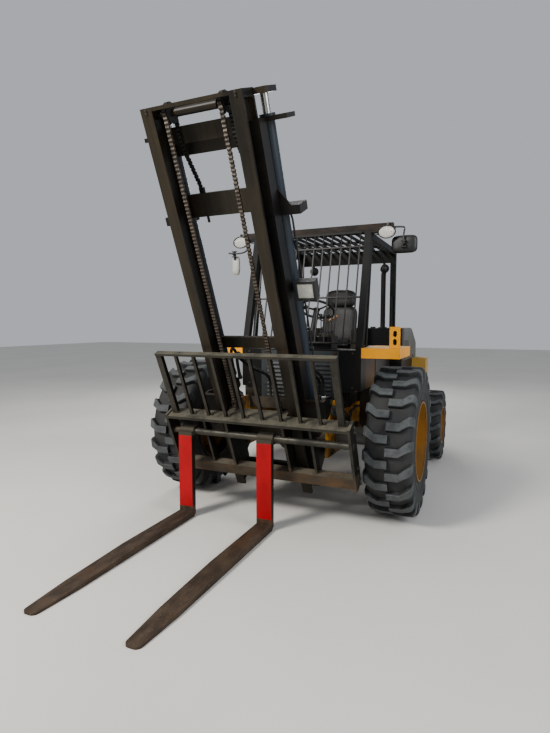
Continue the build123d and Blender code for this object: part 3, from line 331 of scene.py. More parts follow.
def carcass_rubber():
    """Sidewalls and the floor of the tread: dark, with a film of dust and scuffs."""
    g = Graph("rubber")
    colour = g.drift(g.noise(5.0, 5, 0.6), (24, 25, 26), (38, 38, 38), 0.3, 0.7)
    film = g.times(g.ramp(g.noise(12, 7, 0.7), 0.30, 0.66), 0.4)
    colour = g.mix(film, colour, rgb(50, 51, 50))
    scuff = g.times(g.ramp(g.noise(55, 6, 0.7), 0.55, 0.68), 0.35)
    g.set("Base Color", g.mix(scuff, colour, rgb(60, 58, 55)))
    g.set("Roughness", g.span(film, 0.66, 0.92))
    g.set("Specular IOR Level", 0.35)
    g.bump((g.noise(90, 5, 0.6), 0.0008, 0.5), (g.noise(16, 4, 0.6), 0.002, 0.25))
    return g.mat


def tread_rubber():
    """Lugs: worn grey on the faces that meet the ground, dark on their flanks."""
    g = Graph("tread_rubber")
    colour = g.drift(g.noise(5.0, 5, 0.6), (22, 23, 25), (32, 33, 34), 0.3, 0.7)
    # the mesh says how near each point is to the face that meets the ground
    crown = g.nodes.new("ShaderNodeAttribute")
    crown.attribute_name = "crown"
    top = g.ramp(crown.outputs["Fac"], 0.35, 0.95)
    worn = g.times(top, g.span(g.ramp(g.noise(17, 7, 0.72), 0.30, 0.64), 0.35, 1.0))
    colour = g.mix(worn, colour, rgb(76, 79, 80))
    fleck = g.times(g.ramp(g.noise(70, 5, 0.7), 0.60, 0.70), g.times(top, 0.6))
    g.set("Base Color", g.mix(fleck, colour, rgb(104, 102, 94)))
    g.set("Roughness", g.span(worn, 0.6, 0.92))
    g.set("Specular IOR Level", 0.3)
    g.bump((g.noise(90, 5, 0.6), 0.0008, 0.5), (g.noise(16, 4, 0.6), 0.002, 0.25))
    return g.mat


def seat_vinyl():
    g = Graph("seat_vinyl")
    up = g.dust_above(11, (0.2, 0.6), patch=(0.35, 0.65))
    g.set("Base Color", g.mix(up, g.drift(g.noise(4.0, 4, 0.6), (4, 5, 5), (8, 9, 9)), rgb(44, 42, 38)))
    g.set("Roughness", g.span(up, 0.42, 0.8))
    g.set("Specular IOR Level", 0.35)
    grain = g.nodes.new("ShaderNodeTexVoronoi")
    grain.feature = "DISTANCE_TO_EDGE"
    grain.inputs["Scale"].default_value = 420
    g.link(g.mapping(), grain.inputs["Vector"])
    g.bump((g.ramp(grain.outputs["Distance"], 0.0, 0.25), 0.0004, 0.5), (g.noise(22, 4, 0.5), 0.002, 0.2))
    return g.mat


def ribbed_glass(name, tint, rough, ribs):
    g = Graph(name)
    grime = g.noise(30, 5, 0.7)
    g.set("Base Color", g.drift(grime, tint, (196, 190, 176), 0.45, 0.75))
    g.set("Roughness", g.span(grime, rough, rough + 0.25))
    g.set("Transmission Weight", 0.25)
    g.set("IOR", 1.49)
    wave = g.nodes.new("ShaderNodeTexWave")
    wave.bands_direction = "X"
    wave.inputs["Scale"].default_value = ribs
    g.link(g.coord, wave.inputs["Vector"])
    g.bump((wave.outputs["Fac"], 0.002, 0.6))
    return g.mat


def mirror_material():
    g = Graph("mirror_glass")
    haze = g.ramp(g.noise(24, 6, 0.7), 0.45, 0.8)
    g.set("Base Color", g.mix(haze, rgb(190, 194, 196), rgb(128, 122, 110)))
    g.set("Metallic", 1.0)
    g.set("Roughness", g.span(haze, 0.06, 0.5))
    return g.mat


def fork_material():
    """Red on the shank's front with painted shade on its sides, worn bare along the blade and at the eye.
    """
    g = Graph("fork_red")
    high = g.place("Z")
    ragged = g.math("ADD", g.times(g.noise(20, 7, 0.7), 0.02), high)
    drift = g.noise(2.5, 5, 0.6)
    steel = g.drift(g.noise(14, 7, 0.65, (1, 0.35, 1)), (76, 63, 51), (54, 44, 36), 0.35, 0.65)
    steel = g.mix(g.ramp(g.noise(5, 8, 0.7, (1, 0.5, 1)), 0.52, 0.70), steel, rgb(78, 56, 40))
    steel = g.mix(g.ramp(g.noise(60, 4, 0.6), 0.62, 0.72), steel, rgb(104, 94, 80))
    scrape = g.times(g.ramp(g.noise(8, 6, 0.6, (1, 1, 0.2)), 0.5, 0.7), 0.35)
    red = g.mix(scrape, g.drift(drift, (160, 0, 16), (136, 0, 13)), rgb(118, 34, 26))
    # painted shade: faces that look sideways take this dark colour instead of red
    black = g.drift(drift, (20, 17, 16), (32, 27, 23), 0.3, 0.7)
    side = g.ramp(g.math("ABSOLUTE", g.facing((1, 0, 0))), 0.5, 0.9)
    # the red starts a little above the blade and stops below the eye
    on_shank = g.times(g.ramp(ragged, 0.100, 0.108), g.rest(g.ramp(ragged, 0.712, 0.718)))
    chip = g.times(g.ramp(g.noise(26, 8, 0.75), 0.62, 0.655), 0.9)
    edge = g.times(g.edges(0.006), g.ramp(g.noise(40, 6, 0.7), 0.40, 0.52))
    keep = g.times(on_shank, g.rest(g.most(chip, edge)))
    bare = g.mix(g.ramp(high, 0.690, 0.700), steel, rgb(62, 57, 48))
    g.set("Base Color", g.mix(keep, bare, g.mix(side, red, black)))
    g.set("Metallic", g.span(keep, 0.3, 0.0))
    g.set("Specular IOR Level", 0.15)
    g.set("Roughness", g.span(keep, 0.62, 0.40))
    g.bump((g.noise(70, 6, 0.7), 0.0007, 0.45), (keep, 0.0008, 0.5), (g.noise(6, 4, 0.6), 0.003, 0.2))
    return g.mat


def fender_material():
    """Yellow outside, with painted shade below and on the inner panels."""
    g = Graph("fender_paint")
    drift = g.noise(2.0, 5, 0.6)
    dust = g.dust_above(10, (0.2, 0.7))
    yellow = g.mix(dust, g.drift(drift, (250, 166, 0), (240, 154, 0)), rgb(186, 164, 116))
    wear = g.times(g.edges(0.006), g.ramp(g.noise(30, 7, 0.7), 0.46, 0.54))
    yellow = g.mix(wear, yellow, rgb(96, 62, 38))
    # painted shade on the wall over the tyre: near black, going to ochre toward the rear
    flank = g.ramp(g.math("ABSOLUTE", g.facing((1, 0, 0))), 0.8, 0.9)
    wall = g.times(g.ramp(g.place("Y"), 0.02, 0.10), flank)
    painted_shade = g.mix(wall, g.drift(drift, (12, 11, 10), (22, 17, 12)), rgb(92, 60, 12))
    # painted shade on the inner panels and on faces that look down
    shaded_inside = g.rest(g.ramp(g.off_centre(), 0.6144, 0.6150))
    shaded_below = g.ramp(g.facing((0, 0, -1)), 0.5, 0.6)
    g.set("Base Color", g.mix(g.most(shaded_inside, shaded_below), yellow, painted_shade))
    g.set("Specular IOR Level", 0.2)
    g.set("Roughness", g.span(g.most(dust, shaded_below), 0.38, 0.85))
    g.bump((g.noise(60, 5, 0.6), 0.0004, 0.3), (g.noise(3, 3, 0.5), 0.004, 0.12))
    return g.mat


def frame_material():
    """Yellow, with painted shade between the plates and darker patches toward the rear, behind the mast's
    brackets.
    """
    g = Graph("frame_paint")
    low = g.noise(4.0, 7, 0.72)
    behind = g.ramp(g.math("ADD", g.place("Y"), g.times(low, 0.3)), -0.30, 0.05)
    # painted shade on the faces between the frame's plates
    shade_between_plates = g.rest(g.ramp(g.off_centre(), 0.4248, 0.4252))
    amount = g.most(g.times(g.ramp(low, 0.36, 0.62), g.span(behind, 0.35, 1.0)), shade_between_plates)
    yellow = g.drift(g.noise(2.0, 5, 0.6), (224, 150, 0), (190, 126, 8))
    # colour of the painted shade between the plates and of the darker patches toward the rear
    grime = g.drift(g.noise(6, 6, 0.7), (28, 24, 18), (56, 46, 32), 0.35, 0.65)
    g.set("Base Color", g.mix(amount, yellow, grime))
    g.set("Roughness", g.span(amount, 0.42, 0.9))
    g.bump((g.noise(60, 5, 0.6), 0.0005, 0.3), (amount, 0.002, 0.4))
    return g.mat


def carriage_material():
    """Black paint under dust, gone to brown on the lower bar."""
    g = Graph("carriage_paint")
    black = g.drift(g.noise(3.0, 6, 0.65), (11, 11, 10), (19, 17, 14))
    front = g.ramp(g.facing(FRONT), 0.5, 0.9)
    up = g.ramp(g.facing((0, 0, 1)), 0.4, 0.9)
    face = g.most(g.times(front, 0.30), g.times(up, 0.9))
    cloud = g.span(g.ramp(g.noise(9, 7, 0.7), 0.3, 0.62), 0.3, 1.0)
    colour = g.mix(g.times(face, cloud), black, rgb(84, 80, 68))
    brown = g.drift(g.noise(11, 7, 0.7, (0.35, 1, 1)), (88, 66, 44), (66, 56, 44), 0.35, 0.62)
    low = g.rest(g.ramp(g.place("Z"), 0.470, 0.500))
    worn = g.times(low, g.span(g.ramp(g.noise(6, 7, 0.7, (0.5, 1, 1)), 0.36, 0.56), 0.35, 1.0))
    colour = g.mix(g.times(worn, g.most(front, 0.3)), colour, brown)
    edge = g.worn_edges(0.005, 26, 7, 0.44, 0.58)
    g.set("Base Color", g.mix(g.times(edge, 0.45), colour, rgb(94, 78, 56)))
    g.set("Specular IOR Level", 0.25)
    g.set("Roughness", g.span(g.most(worn, face), 0.5, 0.85))
    g.bump((g.noise(60, 6, 0.7), 0.0006, 0.4), (g.noise(6, 4, 0.6), 0.002, 0.2))
    return g.mat


def cowl_material():
    """Grey louvred sheet between black wings and under a black dash."""
    g = Graph("cowl_paint")
    drift = g.noise(3.0, 5, 0.6)
    grey = g.drift(drift, (56, 60, 62), (40, 43, 44))
    grey = g.mix(g.ramp(g.noise(9, 7, 0.72, (1, 1, 0.3)), 0.5, 0.7), grey, rgb(38, 36, 32))
    black = g.drift(drift, (5, 6, 6), (9, 9, 9))
    dust = g.dust_above(12, (0.15, 0.6))
    wing = g.ramp(g.off_centre(), 0.3995, 0.4005)
    above = g.ramp(g.place("Z"), 1.388, 1.390)
    colour = g.mix(dust, g.mix(g.most(wing, above), grey, black), rgb(50, 47, 40))
    g.set("Base Color", g.mix(g.times(g.edges(0.004), 0.5), colour, rgb(88, 62, 44)))
    g.set("Roughness", g.span(dust, 0.45, 0.85))
    g.set("Specular IOR Level", 0.2)
    g.bump((g.noise(70, 5, 0.6), 0.0004, 0.3), (g.noise(3, 3, 0.5), 0.003, 0.15))
    return g.mat


def canopy_material():
    """Black posts and roof under a browned header."""
    g = Graph("canopy_paint")
    ahead = g.rest(g.ramp(g.place("Y"), st(0.5575), st(0.5585)))
    header = g.times(g.ramp(g.place("Z"), 2.5205, 2.5215), ahead)
    drift = g.noise(3.0, 6, 0.65)
    streaks = g.ramp(g.noise(9, 7, 0.72, (0.4, 1, 1)), 0.40, 0.62)
    plain = g.drift(drift, (5, 6, 6), (9, 9, 9), 0.35, 0.68)
    worn = g.mix(g.most(streaks, g.ramp(drift, 0.5, 0.8)), rgb(12, 10, 9), rgb(44, 32, 25))
    edge = g.worn_edges(0.005, 26, 7, 0.44, 0.58)
    colour = g.mix(g.times(edge, 0.3), g.mix(header, plain, worn), rgb(58, 46, 34))
    up = g.times(g.ramp(g.facing((0, 0, 1)), 0.5, 0.95), 0.3)
    g.set("Base Color", g.mix(up, colour, rgb(66, 60, 48)))
    g.set("Roughness", g.span(drift, 0.5, 0.75))
    g.set("Specular IOR Level", 0.2)
    g.bump((g.noise(60, 6, 0.7), 0.0005, 0.35), (g.noise(3, 3, 0.5), 0.003, 0.12))
    return g.mat


# olive of the mast's dust, which also paints the sunlight on its front faces
DUST_AND_SUNLIGHT_OLIVE = (126, 108, 72)
MAST_COAT = dict(streak=0.03, lean=True, edge=0.004, specular=0.22)
# name: base, shade, dust, what shows where the paint is gone, and settings of paint()
PAINTS = {
    "chassis_yellow": ((206, 158, 44), (186, 140, 46), (160, 140, 102), (104, 66, 40),
                       dict(dusty=0.75, chips=0.8)),
    "mast_black": ((6, 6, 7), (10, 10, 10), DUST_AND_SUNLIGHT_OLIVE, (72, 60, 42),
                   dict(MAST_COAT, dusty=0.16, chips=0.45, front=0.72, fade=(1.85, 2.45))),
    "mast_outer_paint": ((7, 8, 10), (11, 12, 14), DUST_AND_SUNLIGHT_OLIVE, (66, 56, 42),
                         dict(MAST_COAT, dusty=0.14, chips=0.4, front=0.66, fade=(1.95, 2.35),
                              reach=0.330)),
    "canopy_black": ((5, 6, 6), (9, 9, 9), (44, 41, 34), (50, 38, 28),
                     dict(dusty=0.14, streak=0.03, chips=0.3, specular=0.2)),
    "barrel_grey": ((34, 44, 54), (24, 31, 38), (62, 64, 62), (60, 50, 42),
                    dict(dusty=0.25, streak=0.25, chips=0.4, lean=True, specular=0.35)),
    "rim_yellow": ((142, 92, 12), (106, 70, 14), (96, 76, 44), (62, 44, 28),
                   dict(dusty=0.6, streak=0.25, chips=0.8, edge=0.008, specular=0.3, inboard=0.90)),
    "cast_yellow": ((186, 142, 48), (164, 124, 48), (150, 132, 96), (98, 64, 40),
                    dict(dusty=0.75, streak=0.45, chips=0.7)),
    "grille_black": ((20, 20, 19), (30, 28, 25), (92, 82, 62), (84, 58, 40), dict(streak=0.1, chips=0.4)),
    "engine_grey": ((84, 84, 80), (62, 60, 56), (108, 96, 74), (96, 66, 46),
                    dict(dusty=0.8, streak=0.3, chips=0.4)),
    "cowl_grey": ((112, 110, 104), (88, 86, 80), (128, 116, 92), (104, 70, 46), dict(dusty=0.7)),
    "hood_beige": ((78, 77, 72), (64, 63, 58), (92, 84, 68), (70, 54, 40), dict(dusty=0.7, chips=0.6)),
    "deck_black": ((20, 19, 17), (32, 28, 23), (96, 82, 60), (84, 60, 40),
                   dict(dusty=0.8, streak=0.2, chips=0.8)),
}
# name: base, shade, rust, range of roughness, metallic, where rust starts, scale of the pattern
STEELS = {
    "worn_steel": ((58, 55, 44), (36, 34, 28), (82, 62, 44), (0.4, 0.75), 0.35, 0.56, 9),
    "chrome_rod": ((178, 178, 176), (150, 148, 142), (120, 100, 78), (0.16, 0.4), 0.95, 0.66, 9,
                   (1, 1, 0.12), True, 0.0002),
    "chain_steel": ((70, 58, 44), (46, 39, 31), (56, 42, 30), (0.45, 0.8), 0.25, 0.54, 30),
    # painted shade: a darker copy of chain_steel for the chain's rear run, the sheaves and the rear anchors
    "chain_steel_shaded": ((20, 19, 17), (12, 11, 10), (32, 26, 20), (0.5, 0.8), 0.25, 0.54, 30),
    "exhaust_steel": ((24, 23, 23), (36, 31, 28), (70, 46, 32), (0.55, 0.85), 0.3, 0.56, 8),
    "bolt_steel": ((62, 57, 48), (40, 37, 31), (74, 54, 38), (0.4, 0.75), 0.4, 0.54, 40),
}
# name: base, shade, roughness, scale of the grain, dust
PLASTICS = {
    "lever_tan": ((176, 128, 84), (150, 106, 68), 0.4, 200, (112, 96, 74)),
    "plastic_black": ((6, 6, 7), (11, 11, 11), 0.42, 300, (46, 43, 36)),
    "lamp_housing": ((6, 6, 7), (12, 12, 12), 0.5, 240, (50, 47, 40)),
    "hose": ((7, 7, 8), (13, 13, 12), 0.6, 500, (44, 41, 34)),
    "knob_tan": ((176, 140, 84), (150, 116, 70), 0.45, 300),
    "mirror_shell_pale": ((188, 188, 182), (160, 158, 150), 0.35, 300, (120, 112, 94)),
    "dial_face": ((20, 20, 21), (28, 28, 28), 0.3, 200),
}
MATS = {name: paint(name, *row[:-1], **row[-1]) for name, row in PAINTS.items()}
MATS.update({name: bare_metal(name, *row) for name, row in STEELS.items()})
MATS.update({name: plastic(name, *row) for name, row in PLASTICS.items()})
MATS.update({
    "rubber": carcass_rubber(),
    "tread_rubber": tread_rubber(),
    "seat_vinyl": seat_vinyl(),
    "lens": ribbed_glass("lens", (214, 214, 206), 0.06, 60),
    "lens_red": ribbed_glass("lens_red", (150, 22, 16), 0.12, 90),
    "mirror_glass": mirror_material(),
    "fork_red": fork_material(),
    "fender_paint": fender_material(),
    "frame_paint": frame_material(),
    "carriage_paint": carriage_material(),
    "cowl_paint": cowl_material(),
    "canopy_paint": canopy_material(),
})

record_slots = {}
for sub in frame["record"].get("subparts", []):
    record_slots[sub.get("node") or sub.get("name")] = sub.get("material_slot") or sub.get("slot")
# nodes whose finish differs from what their slot in the record gives
NODE_FINISH = {
    "engine_hood": "hood_beige",
    "engine_surround": "canopy_black",
    "outer_mast": "mast_outer_paint",
    # painted shade: the sheaves take the darker copy of the chain steel
    "chain_sheaves": "chain_steel_shaded",
    "fenders": "fender_paint",
    "chassis_frame": "frame_paint",
    "front_axle": "engine_grey",
    "rear_axle": "frame_paint",
    "front_cowl": "cowl_paint",
    # painted shade: the side tanks take a dark finish, as they sit in the fenders' shadow
    "side_tanks": "deck_black",
    "carriage": "carriage_paint",
    "load_guard": "carriage_paint",
    "canopy_frame": "canopy_paint",
}
for name, obj in nodes.items():
    slot = NODE_FINISH.get(name)
    if slot is None:
        for material_slot in obj.material_slots:
            base = material_slot.material.name.split(".")[0] if material_slot.material else ""
            if base in MATS:
                slot = base
    slot = slot or record_slots.get(name) or "mast_black"
    material = MATS.get(slot, MATS["mast_black"])
    if not obj.material_slots:
        obj.data.materials.append(material)
    for material_slot in obj.material_slots:
        material_slot.material = material


def add_object(name, data):
    obj = bpy.data.objects.new(name, data)
    bpy.context.scene.collection.objects.link(obj)
    return obj


class Shape:
    """Collects vertices and faces for one piece."""

    def __init__(self):
        self.v, self.f = [], []

    def add(self, verts, faces):
        n = len(self.v)
        self.v += [Vector(p) for p in verts]
        self.f += [tuple(i + n for i in face) for face in faces]

    def skin(self, rings, closed=False, caps=(False, False)):
        """Faces between rings of equally many points; closed joins the last ring to the first."""
        rows, count = len(rings), len(rings[0])
        faces = []
        for i in range(rows if closed else rows - 1):
            a, b = i * count, (i + 1) % rows * count
            for k in range(count):
                m = (k + 1) % count
                faces.append((a + k, a + m, b + m, b + k))
        if caps[0]:
            faces.append(tuple(range(count - 1, -1, -1)))
        if caps[1]:
            faces.append(tuple((rows - 1) * count + k for k in range(count)))
        self.add([p for ring in rings for p in ring], faces)

    def box(self, low, high, to=at):
        """A block whose corners are placed by the function to."""
        xs, ys, zs = zip(low, high)
        self.add([to(x, y, z) for x in xs for y in ys for z in zs],
                 [(0, 1, 3, 2), (4, 6, 7, 5), (0, 4, 5, 1), (2, 3, 7, 6), (0, 2, 6, 4), (1, 5, 7, 3)])

    def lathe(self, origin, axis, profile, count=32, closed=False, start=0.0):
        """Revolves (distance along the axis, radius) points about the axis."""
        axis = Vector(axis).normalized()
        u = axis.orthogonal().normalized()
        w = axis.cross(u)
        rings = [[Vector(origin) + axis * a + spoke(u, w, start + t) * r for t in turns(count)]
                 for a, r in profile]
        self.skin(rings, closed, [not closed and profile[end][1] > 1e-5 for end in (0, -1)])

    def tube(self, points, radius, count=12):
        """A round bar through the points, with one radius or a list of them."""
        pts = [Vector(p) for p in points]
        radii = radius if isinstance(radius, list) else [radius] * len(pts)
        rings = []
        u = None
        for i, (p, r) in enumerate(zip(pts, radii)):
            d = (pts[min(i + 1, len(pts) - 1)] - pts[max(i - 1, 0)]).normalized()
            u = (d.orthogonal() if u is None else u - d * u.dot(d)).normalized()
            w = d.cross(u)
            rings.append([p + spoke(u, w, t) * r for t in turns(count)])
        self.skin(rings, caps=(True, True))

    def prism(self, outline, run):
        """A flat outline pushed along a vector."""
        n = len(outline)
        verts = [Vector(p) for p in outline] + [Vector(p) + Vector(run) for p in outline]
        faces = [tuple(range(n)), tuple(n + i for i in reversed(range(n)))]
        self.add(verts, faces + [(i, (i + 1) % n, n + (i + 1) % n, n + i) for i in range(n)])

    def louvre(self, top, along, down, out, length, opening, depth):
        """A pressed lip with closed ends over a slot; top is the middle of the slot's upper edge."""
        along, down, out = Vector(along), Vector(down), Vector(out)
        sheet = 0.0015
        curve = [(0.0, -0.006), (0.45, -0.002), (0.85, 0.35), (1.0, 0.9)]
        skin = [top + out * (depth * a) + down * (b if b < 0 else opening * b) for a, b in curve]
        back = [p - out * (sheet if a > 0.5 else 0.0) + down * 0.0025 for p, (a, _) in zip(skin, curve)]
        self.prism([p - along * (length / 2) for p in skin + back[::-1]], along * length)
        side = skin + [top + down * (opening * 0.9)]
        for end in (-length / 2, length / 2 - sheet):
            self.prism([p + along * end for p in side], along * sheet)

    def nut(self, centre, axis, across, height, washer=True, stud=0.0):
        """A hexagonal head with its washer and stud."""
        r = across / 2 / math.cos(math.pi / 6)
        base = height * 0.18 if washer else 0
        if washer:
            self.lathe(centre, axis, [(0, r * 1.25), (base, r * 1.25)], 18)
        self.lathe(centre, axis, [(base, r), (base + height * 0.8, r), (base + height, r * 0.86)], 6,
                   start=rng.random())
        if stud:
            self.lathe(centre, axis, [(base, r * 0.5), (base + height + stud, r * 0.5),
                                      (base + height + stud * 1.2, r * 0.42)], 12)

    def piece(self, name, material, body="chassis", smooth=True, angle=35, bevel=0.0):
        """The object of this shape. A material given by name also gives its slot."""
        mesh = bpy.data.meshes.new(name)
        mesh.from_pydata([tuple(v) for v in self.v], [], self.f)
        mesh.update()
        bm = bmesh.new()
        bm.from_mesh(mesh)
        bmesh.ops.recalc_face_normals(bm, faces=bm.faces)
        if bevel:
            edges = [e for e in bm.edges
                     if len(e.link_faces) == 2 and e.calc_face_angle(0) > math.radians(40)]
            bmesh.ops.bevel(bm, geom=edges, offset=bevel, segments=2, affect="EDGES", profile=0.5,
                            clamp_overlap=True)
        bm.to_mesh(mesh)
        bm.free()
        if smooth:
            for p in mesh.polygons:
                p.use_smooth = True
            mesh.set_sharp_from_angle(angle=math.radians(angle))
        obj = add_object(name, mesh)
        mesh.materials.append(MATS[material] if isinstance(material, str) else material)
        if body:
            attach(obj, body)
        return obj


def route(points, resolution=8):
    """Points along the smooth NURBS curve that has the given control points."""
    data = bpy.data.curves.new("route", "CURVE")
    data.dimensions = "3D"
    data.resolution_u = resolution
    spline = data.splines.new("NURBS")
    spline.points.add(len(points) - 1)
    for control, place in zip(spline.points, points):
        control.co = (*place, 1)
    spline.order_u = 3
    spline.use_endpoint_u = True
    obj = bpy.data.objects.new("route", data)
    mesh = bpy.data.meshes.new_from_object(obj)
    line = [v.co.copy() for v in mesh.vertices]
    bpy.data.objects.remove(obj)
    bpy.data.curves.remove(data)
    bpy.data.meshes.remove(mesh)
    return line


# Camera, floor and light
YAW, PITCH, ROLL = math.radians(23.9119), math.radians(-4.9578), math.radians(0.0329)
FOCAL_PX, FRAME_H, SENSOR_H = 500.42, 733, 24
CAMERA_PLACE = (1.7512, -4.6365, 1.6518)
look = Vector((-math.sin(YAW) * math.cos(PITCH), math.cos(YAW) * math.cos(PITCH), math.sin(PITCH)))
right = Vector((math.cos(YAW), math.sin(YAW), 0))
cam_data = bpy.data.cameras.new("camera")
cam_data.sensor_fit = "VERTICAL"
cam_data.sensor_height = SENSOR_H
cam_data.lens = FOCAL_PX * SENSOR_H / FRAME_H
cam = add_object("camera", cam_data)
turn = Matrix((right, right.cross(look), -look)).transposed().to_4x4()
cam.matrix_world = Matrix.Translation(CAMERA_PLACE) @ turn @ Matrix.Rotation(-ROLL, 4, "Z")
bpy.context.scene.camera = cam

floor_mesh = bpy.data.meshes.new("floor")
floor_mesh.from_pydata([(-30, -30, 0), (30, -30, 0), (30, 30, 0), (-30, 30, 0)], [], [(0, 1, 2, 3)])
floor = add_object("floor", floor_mesh)
ground = Graph("floor_pale")
ground.set("Base Color", ground.drift(ground.noise(0.6, 3, 0.5), (206, 204, 198), (200, 198, 192), 0.3))
ground.set("Roughness", 0.9)
floor_mesh.materials.append(ground.mat)

world = bpy.data.worlds.new("studio")
bpy.context.scene.world = world
world.use_nodes = True
sky = world.node_tree.nodes["Background"].inputs
sky["Color"].default_value = (0.86, 0.90, 0.96, 1)
sky["Strength"].default_value = 0.55
# name, place, target, diameter, power, colour
LIGHTS = (
    ("key", (-3.2, -6.8, 6.4), (0, -0.5, 1.0), 2.2, 950, (1.0, 0.96, 0.90)),
    ("fill", (6.0, -3.0, 4.0), (0, 0.2, 1.2), 4.0, 260, (0.92, 0.96, 1.0)),
    ("back", (-2.5, 6.5, 5.0), (0, 0.5, 1.2), 4.0, 300, (1, 1, 1)),
)
for name, place, target, size, power, colour in LIGHTS:
    data = bpy.data.lights.new(name, "AREA")
    data.shape = "DISK"
    data.size = size
    data.energy = power
    data.color = colour
    light = add_object(name, data)
    light.rotation_euler = (Vector(target) - Vector(place)).to_track_quat("-Z", "Y").to_euler()
    light.location = place

# Tyres: a round carcass with side rings and staggered hooked lugs, in place of the facetted ones.
# disc and cap are distances of the hub's faces from the wheel's middle.
Tyre = namedtuple("Tyre", "axle x station radius half rim_radius rim_half lugs height bar bend rise end "
                  "bevel skirt chamfer disc hub circle cap nuts across")
TYRES = (
    Tyre("front", 1.0075, 0.0, 0.640, 0.1925, 0.346, 0.172, 20, 0.036, 0.034, 0.092, 0.060, 0.040, 0.046,
         0.122, 0.005, 0.024, 0.105, 0.152, 0.062, 10, 0.030),
    Tyre("rear", 1.0375, 1.957, 0.418, 0.1525, 0.228, 0.132, 16, 0.025, 0.023, 0.070, 0.046, 0.028, 0.034,
         0.084, 0.004, 0.044, 0.076, 0.112, 0.082, 8, 0.026),
)
# the corners across a lug, from flank over crown to flank: how near each is to the ground
CROWN = (0.0, 0.55, 1.0, 1.0, 0.55, 0.0)


def tyre_section(t):
    """(x, radius) points from the inboard bead over the tread to the outboard bead."""
    floor_r = t.radius - t.height
    bead = ((-0.010, -0.013), (0.004, 0.004), (0.010, 0.016), (0.007, 0.026), (0.010, 0.032))
    wall = ((0.009, 0.30), (0.004, 0.42), (0.0015, 0.50), (0.002, 0.60), (0.010, 0.76))
    shoulder = ((0.024, t.bevel * 0.52), (0.042, t.bevel * 0.22), (0.072, 0.006), (0.110, 0.002))
    side = [(t.rim_half + x, t.rim_radius + r) for x, r in bead]
    side += [(t.half - x, t.rim_radius + share * (floor_r - t.rim_radius)) for x, share in wall]
    side += [(t.half - x, floor_r - drop) for x, drop in shoulder]
    return [(-x, r) for x, r in side] + [(0, floor_r)] + [(x, r) for x, r in reversed(side)]


def lug_rows(t, top, middle):
    """Stations along a lug: x, outer radius, inner x, inner radius, middle of the bar, half width."""
    half, bend, bevel, skirt, base = t.half, t.bend, t.bevel, t.skirt, t.radius - t.height - 0.008
    far = t.rise - middle
    rows = [(x, top, x, base, -middle, t.bar) for x in (-0.008, 0.02, bend - 0.045, bend - 0.02, bend)]
    for share in (0.25, 0.5, 0.75):
        x = bend + (half - bevel * 0.85 - bend) * share
        c = -middle + t.rise * share * 0.80
        rows.append((x, top - 0.002 * share, x, base, c, t.bar + (t.end - t.bar) * share))
    # over the shoulder and down the sidewall
    return rows + [
        (half - bevel * 0.62, top - bevel * 0.10, half - bevel, base - 0.004, t.rise * 0.86 - middle,
         t.end),
        (half - bevel * 0.26, top - bevel * 0.42, half - bevel, base - bevel * 0.5, far - 0.004, t.end),
        (half - 0.003, top - bevel, half - 0.018, base - bevel * 0.8, far, t.end),
        (half - 0.001, top - skirt * 0.72, half - 0.012, top - skirt * 0.76, far, t.end * 0.97),
        (half - 0.002, top - skirt, half - 0.010, top - skirt, far, t.end * 0.90),
    ]


def add_lugs(shape, t, centre, side):
    """Two rows of lugs, the second half a pitch behind the first."""
    middle = (t.rise + t.end - t.bar) / 2
    phase = math.pi - math.asin((middle + t.bar) / t.radius)
    top = t.radius - 0.0012
    rows = lug_rows(t, top, middle)
    n = len(CROWN)
    faces = []
    for i in range(len(rows) - 1):
        faces += [(i * n + j, i * n + j + 1, (i + 1) * n + j + 1, (i + 1) * n + j) for j in range(n - 1)]
    faces.append(tuple(range(n)))
    faces.append(tuple((len(rows) - 1) * n + j for j in reversed(range(n))))
    for row_side in SIDES:
        for turned in turns(t.lugs, 0 if row_side == 1 else 0.5):
            verts = []
            for x, ro, xi, ri, c, w in rows:
                dx = 0.0 if ro > top - 0.01 else t.chamfer
                corners = (
                    (xi, c - w - 0.007, ri),
                    (x - dx, c - w, ro - t.chamfer),
                    (x, c - w + t.chamfer, ro),
                    (x, c + w - t.chamfer, ro),
                    (x - dx, c + w, ro - t.chamfer),
                    (xi, c + w + 0.007, ri),
                )
                for px, pc, pr in corners:
                    a = pc / t.radius - turned - phase
                    out = side * row_side * px
                    verts.append(centre + Vector((out, pr * math.sin(a), pr * math.cos(a))))
            shape.add(verts, faces)


def add_hub(hub, t, centre, axis):
    """Hub cap, wheel nuts and their plate."""
    hub.lathe(centre + axis * t.disc, axis, [(0, t.circle + 0.026), (0.006, t.circle + 0.024),
                                             (0.007, t.hub + 0.004)], 40)
    for a in turns(t.nuts):
        p = centre + axis * (t.disc + 0.006) + spoke(REAR, UP, a) * t.circle
        hub.nut(p, axis, t.across, 0.020, stud=0.010)
    for a in turns(8, 0.5):
        p = centre + axis * t.cap + spoke(REAR, UP, a) * (t.hub - 0.026)
        hub.nut(p, axis, 0.017, 0.010, washer=False)
    hub.lathe(centre + axis * t.cap, axis, [(0, 0.044), (0.006, 0.043), (0.010, 0.036), (0.011, 0.0)], 32)


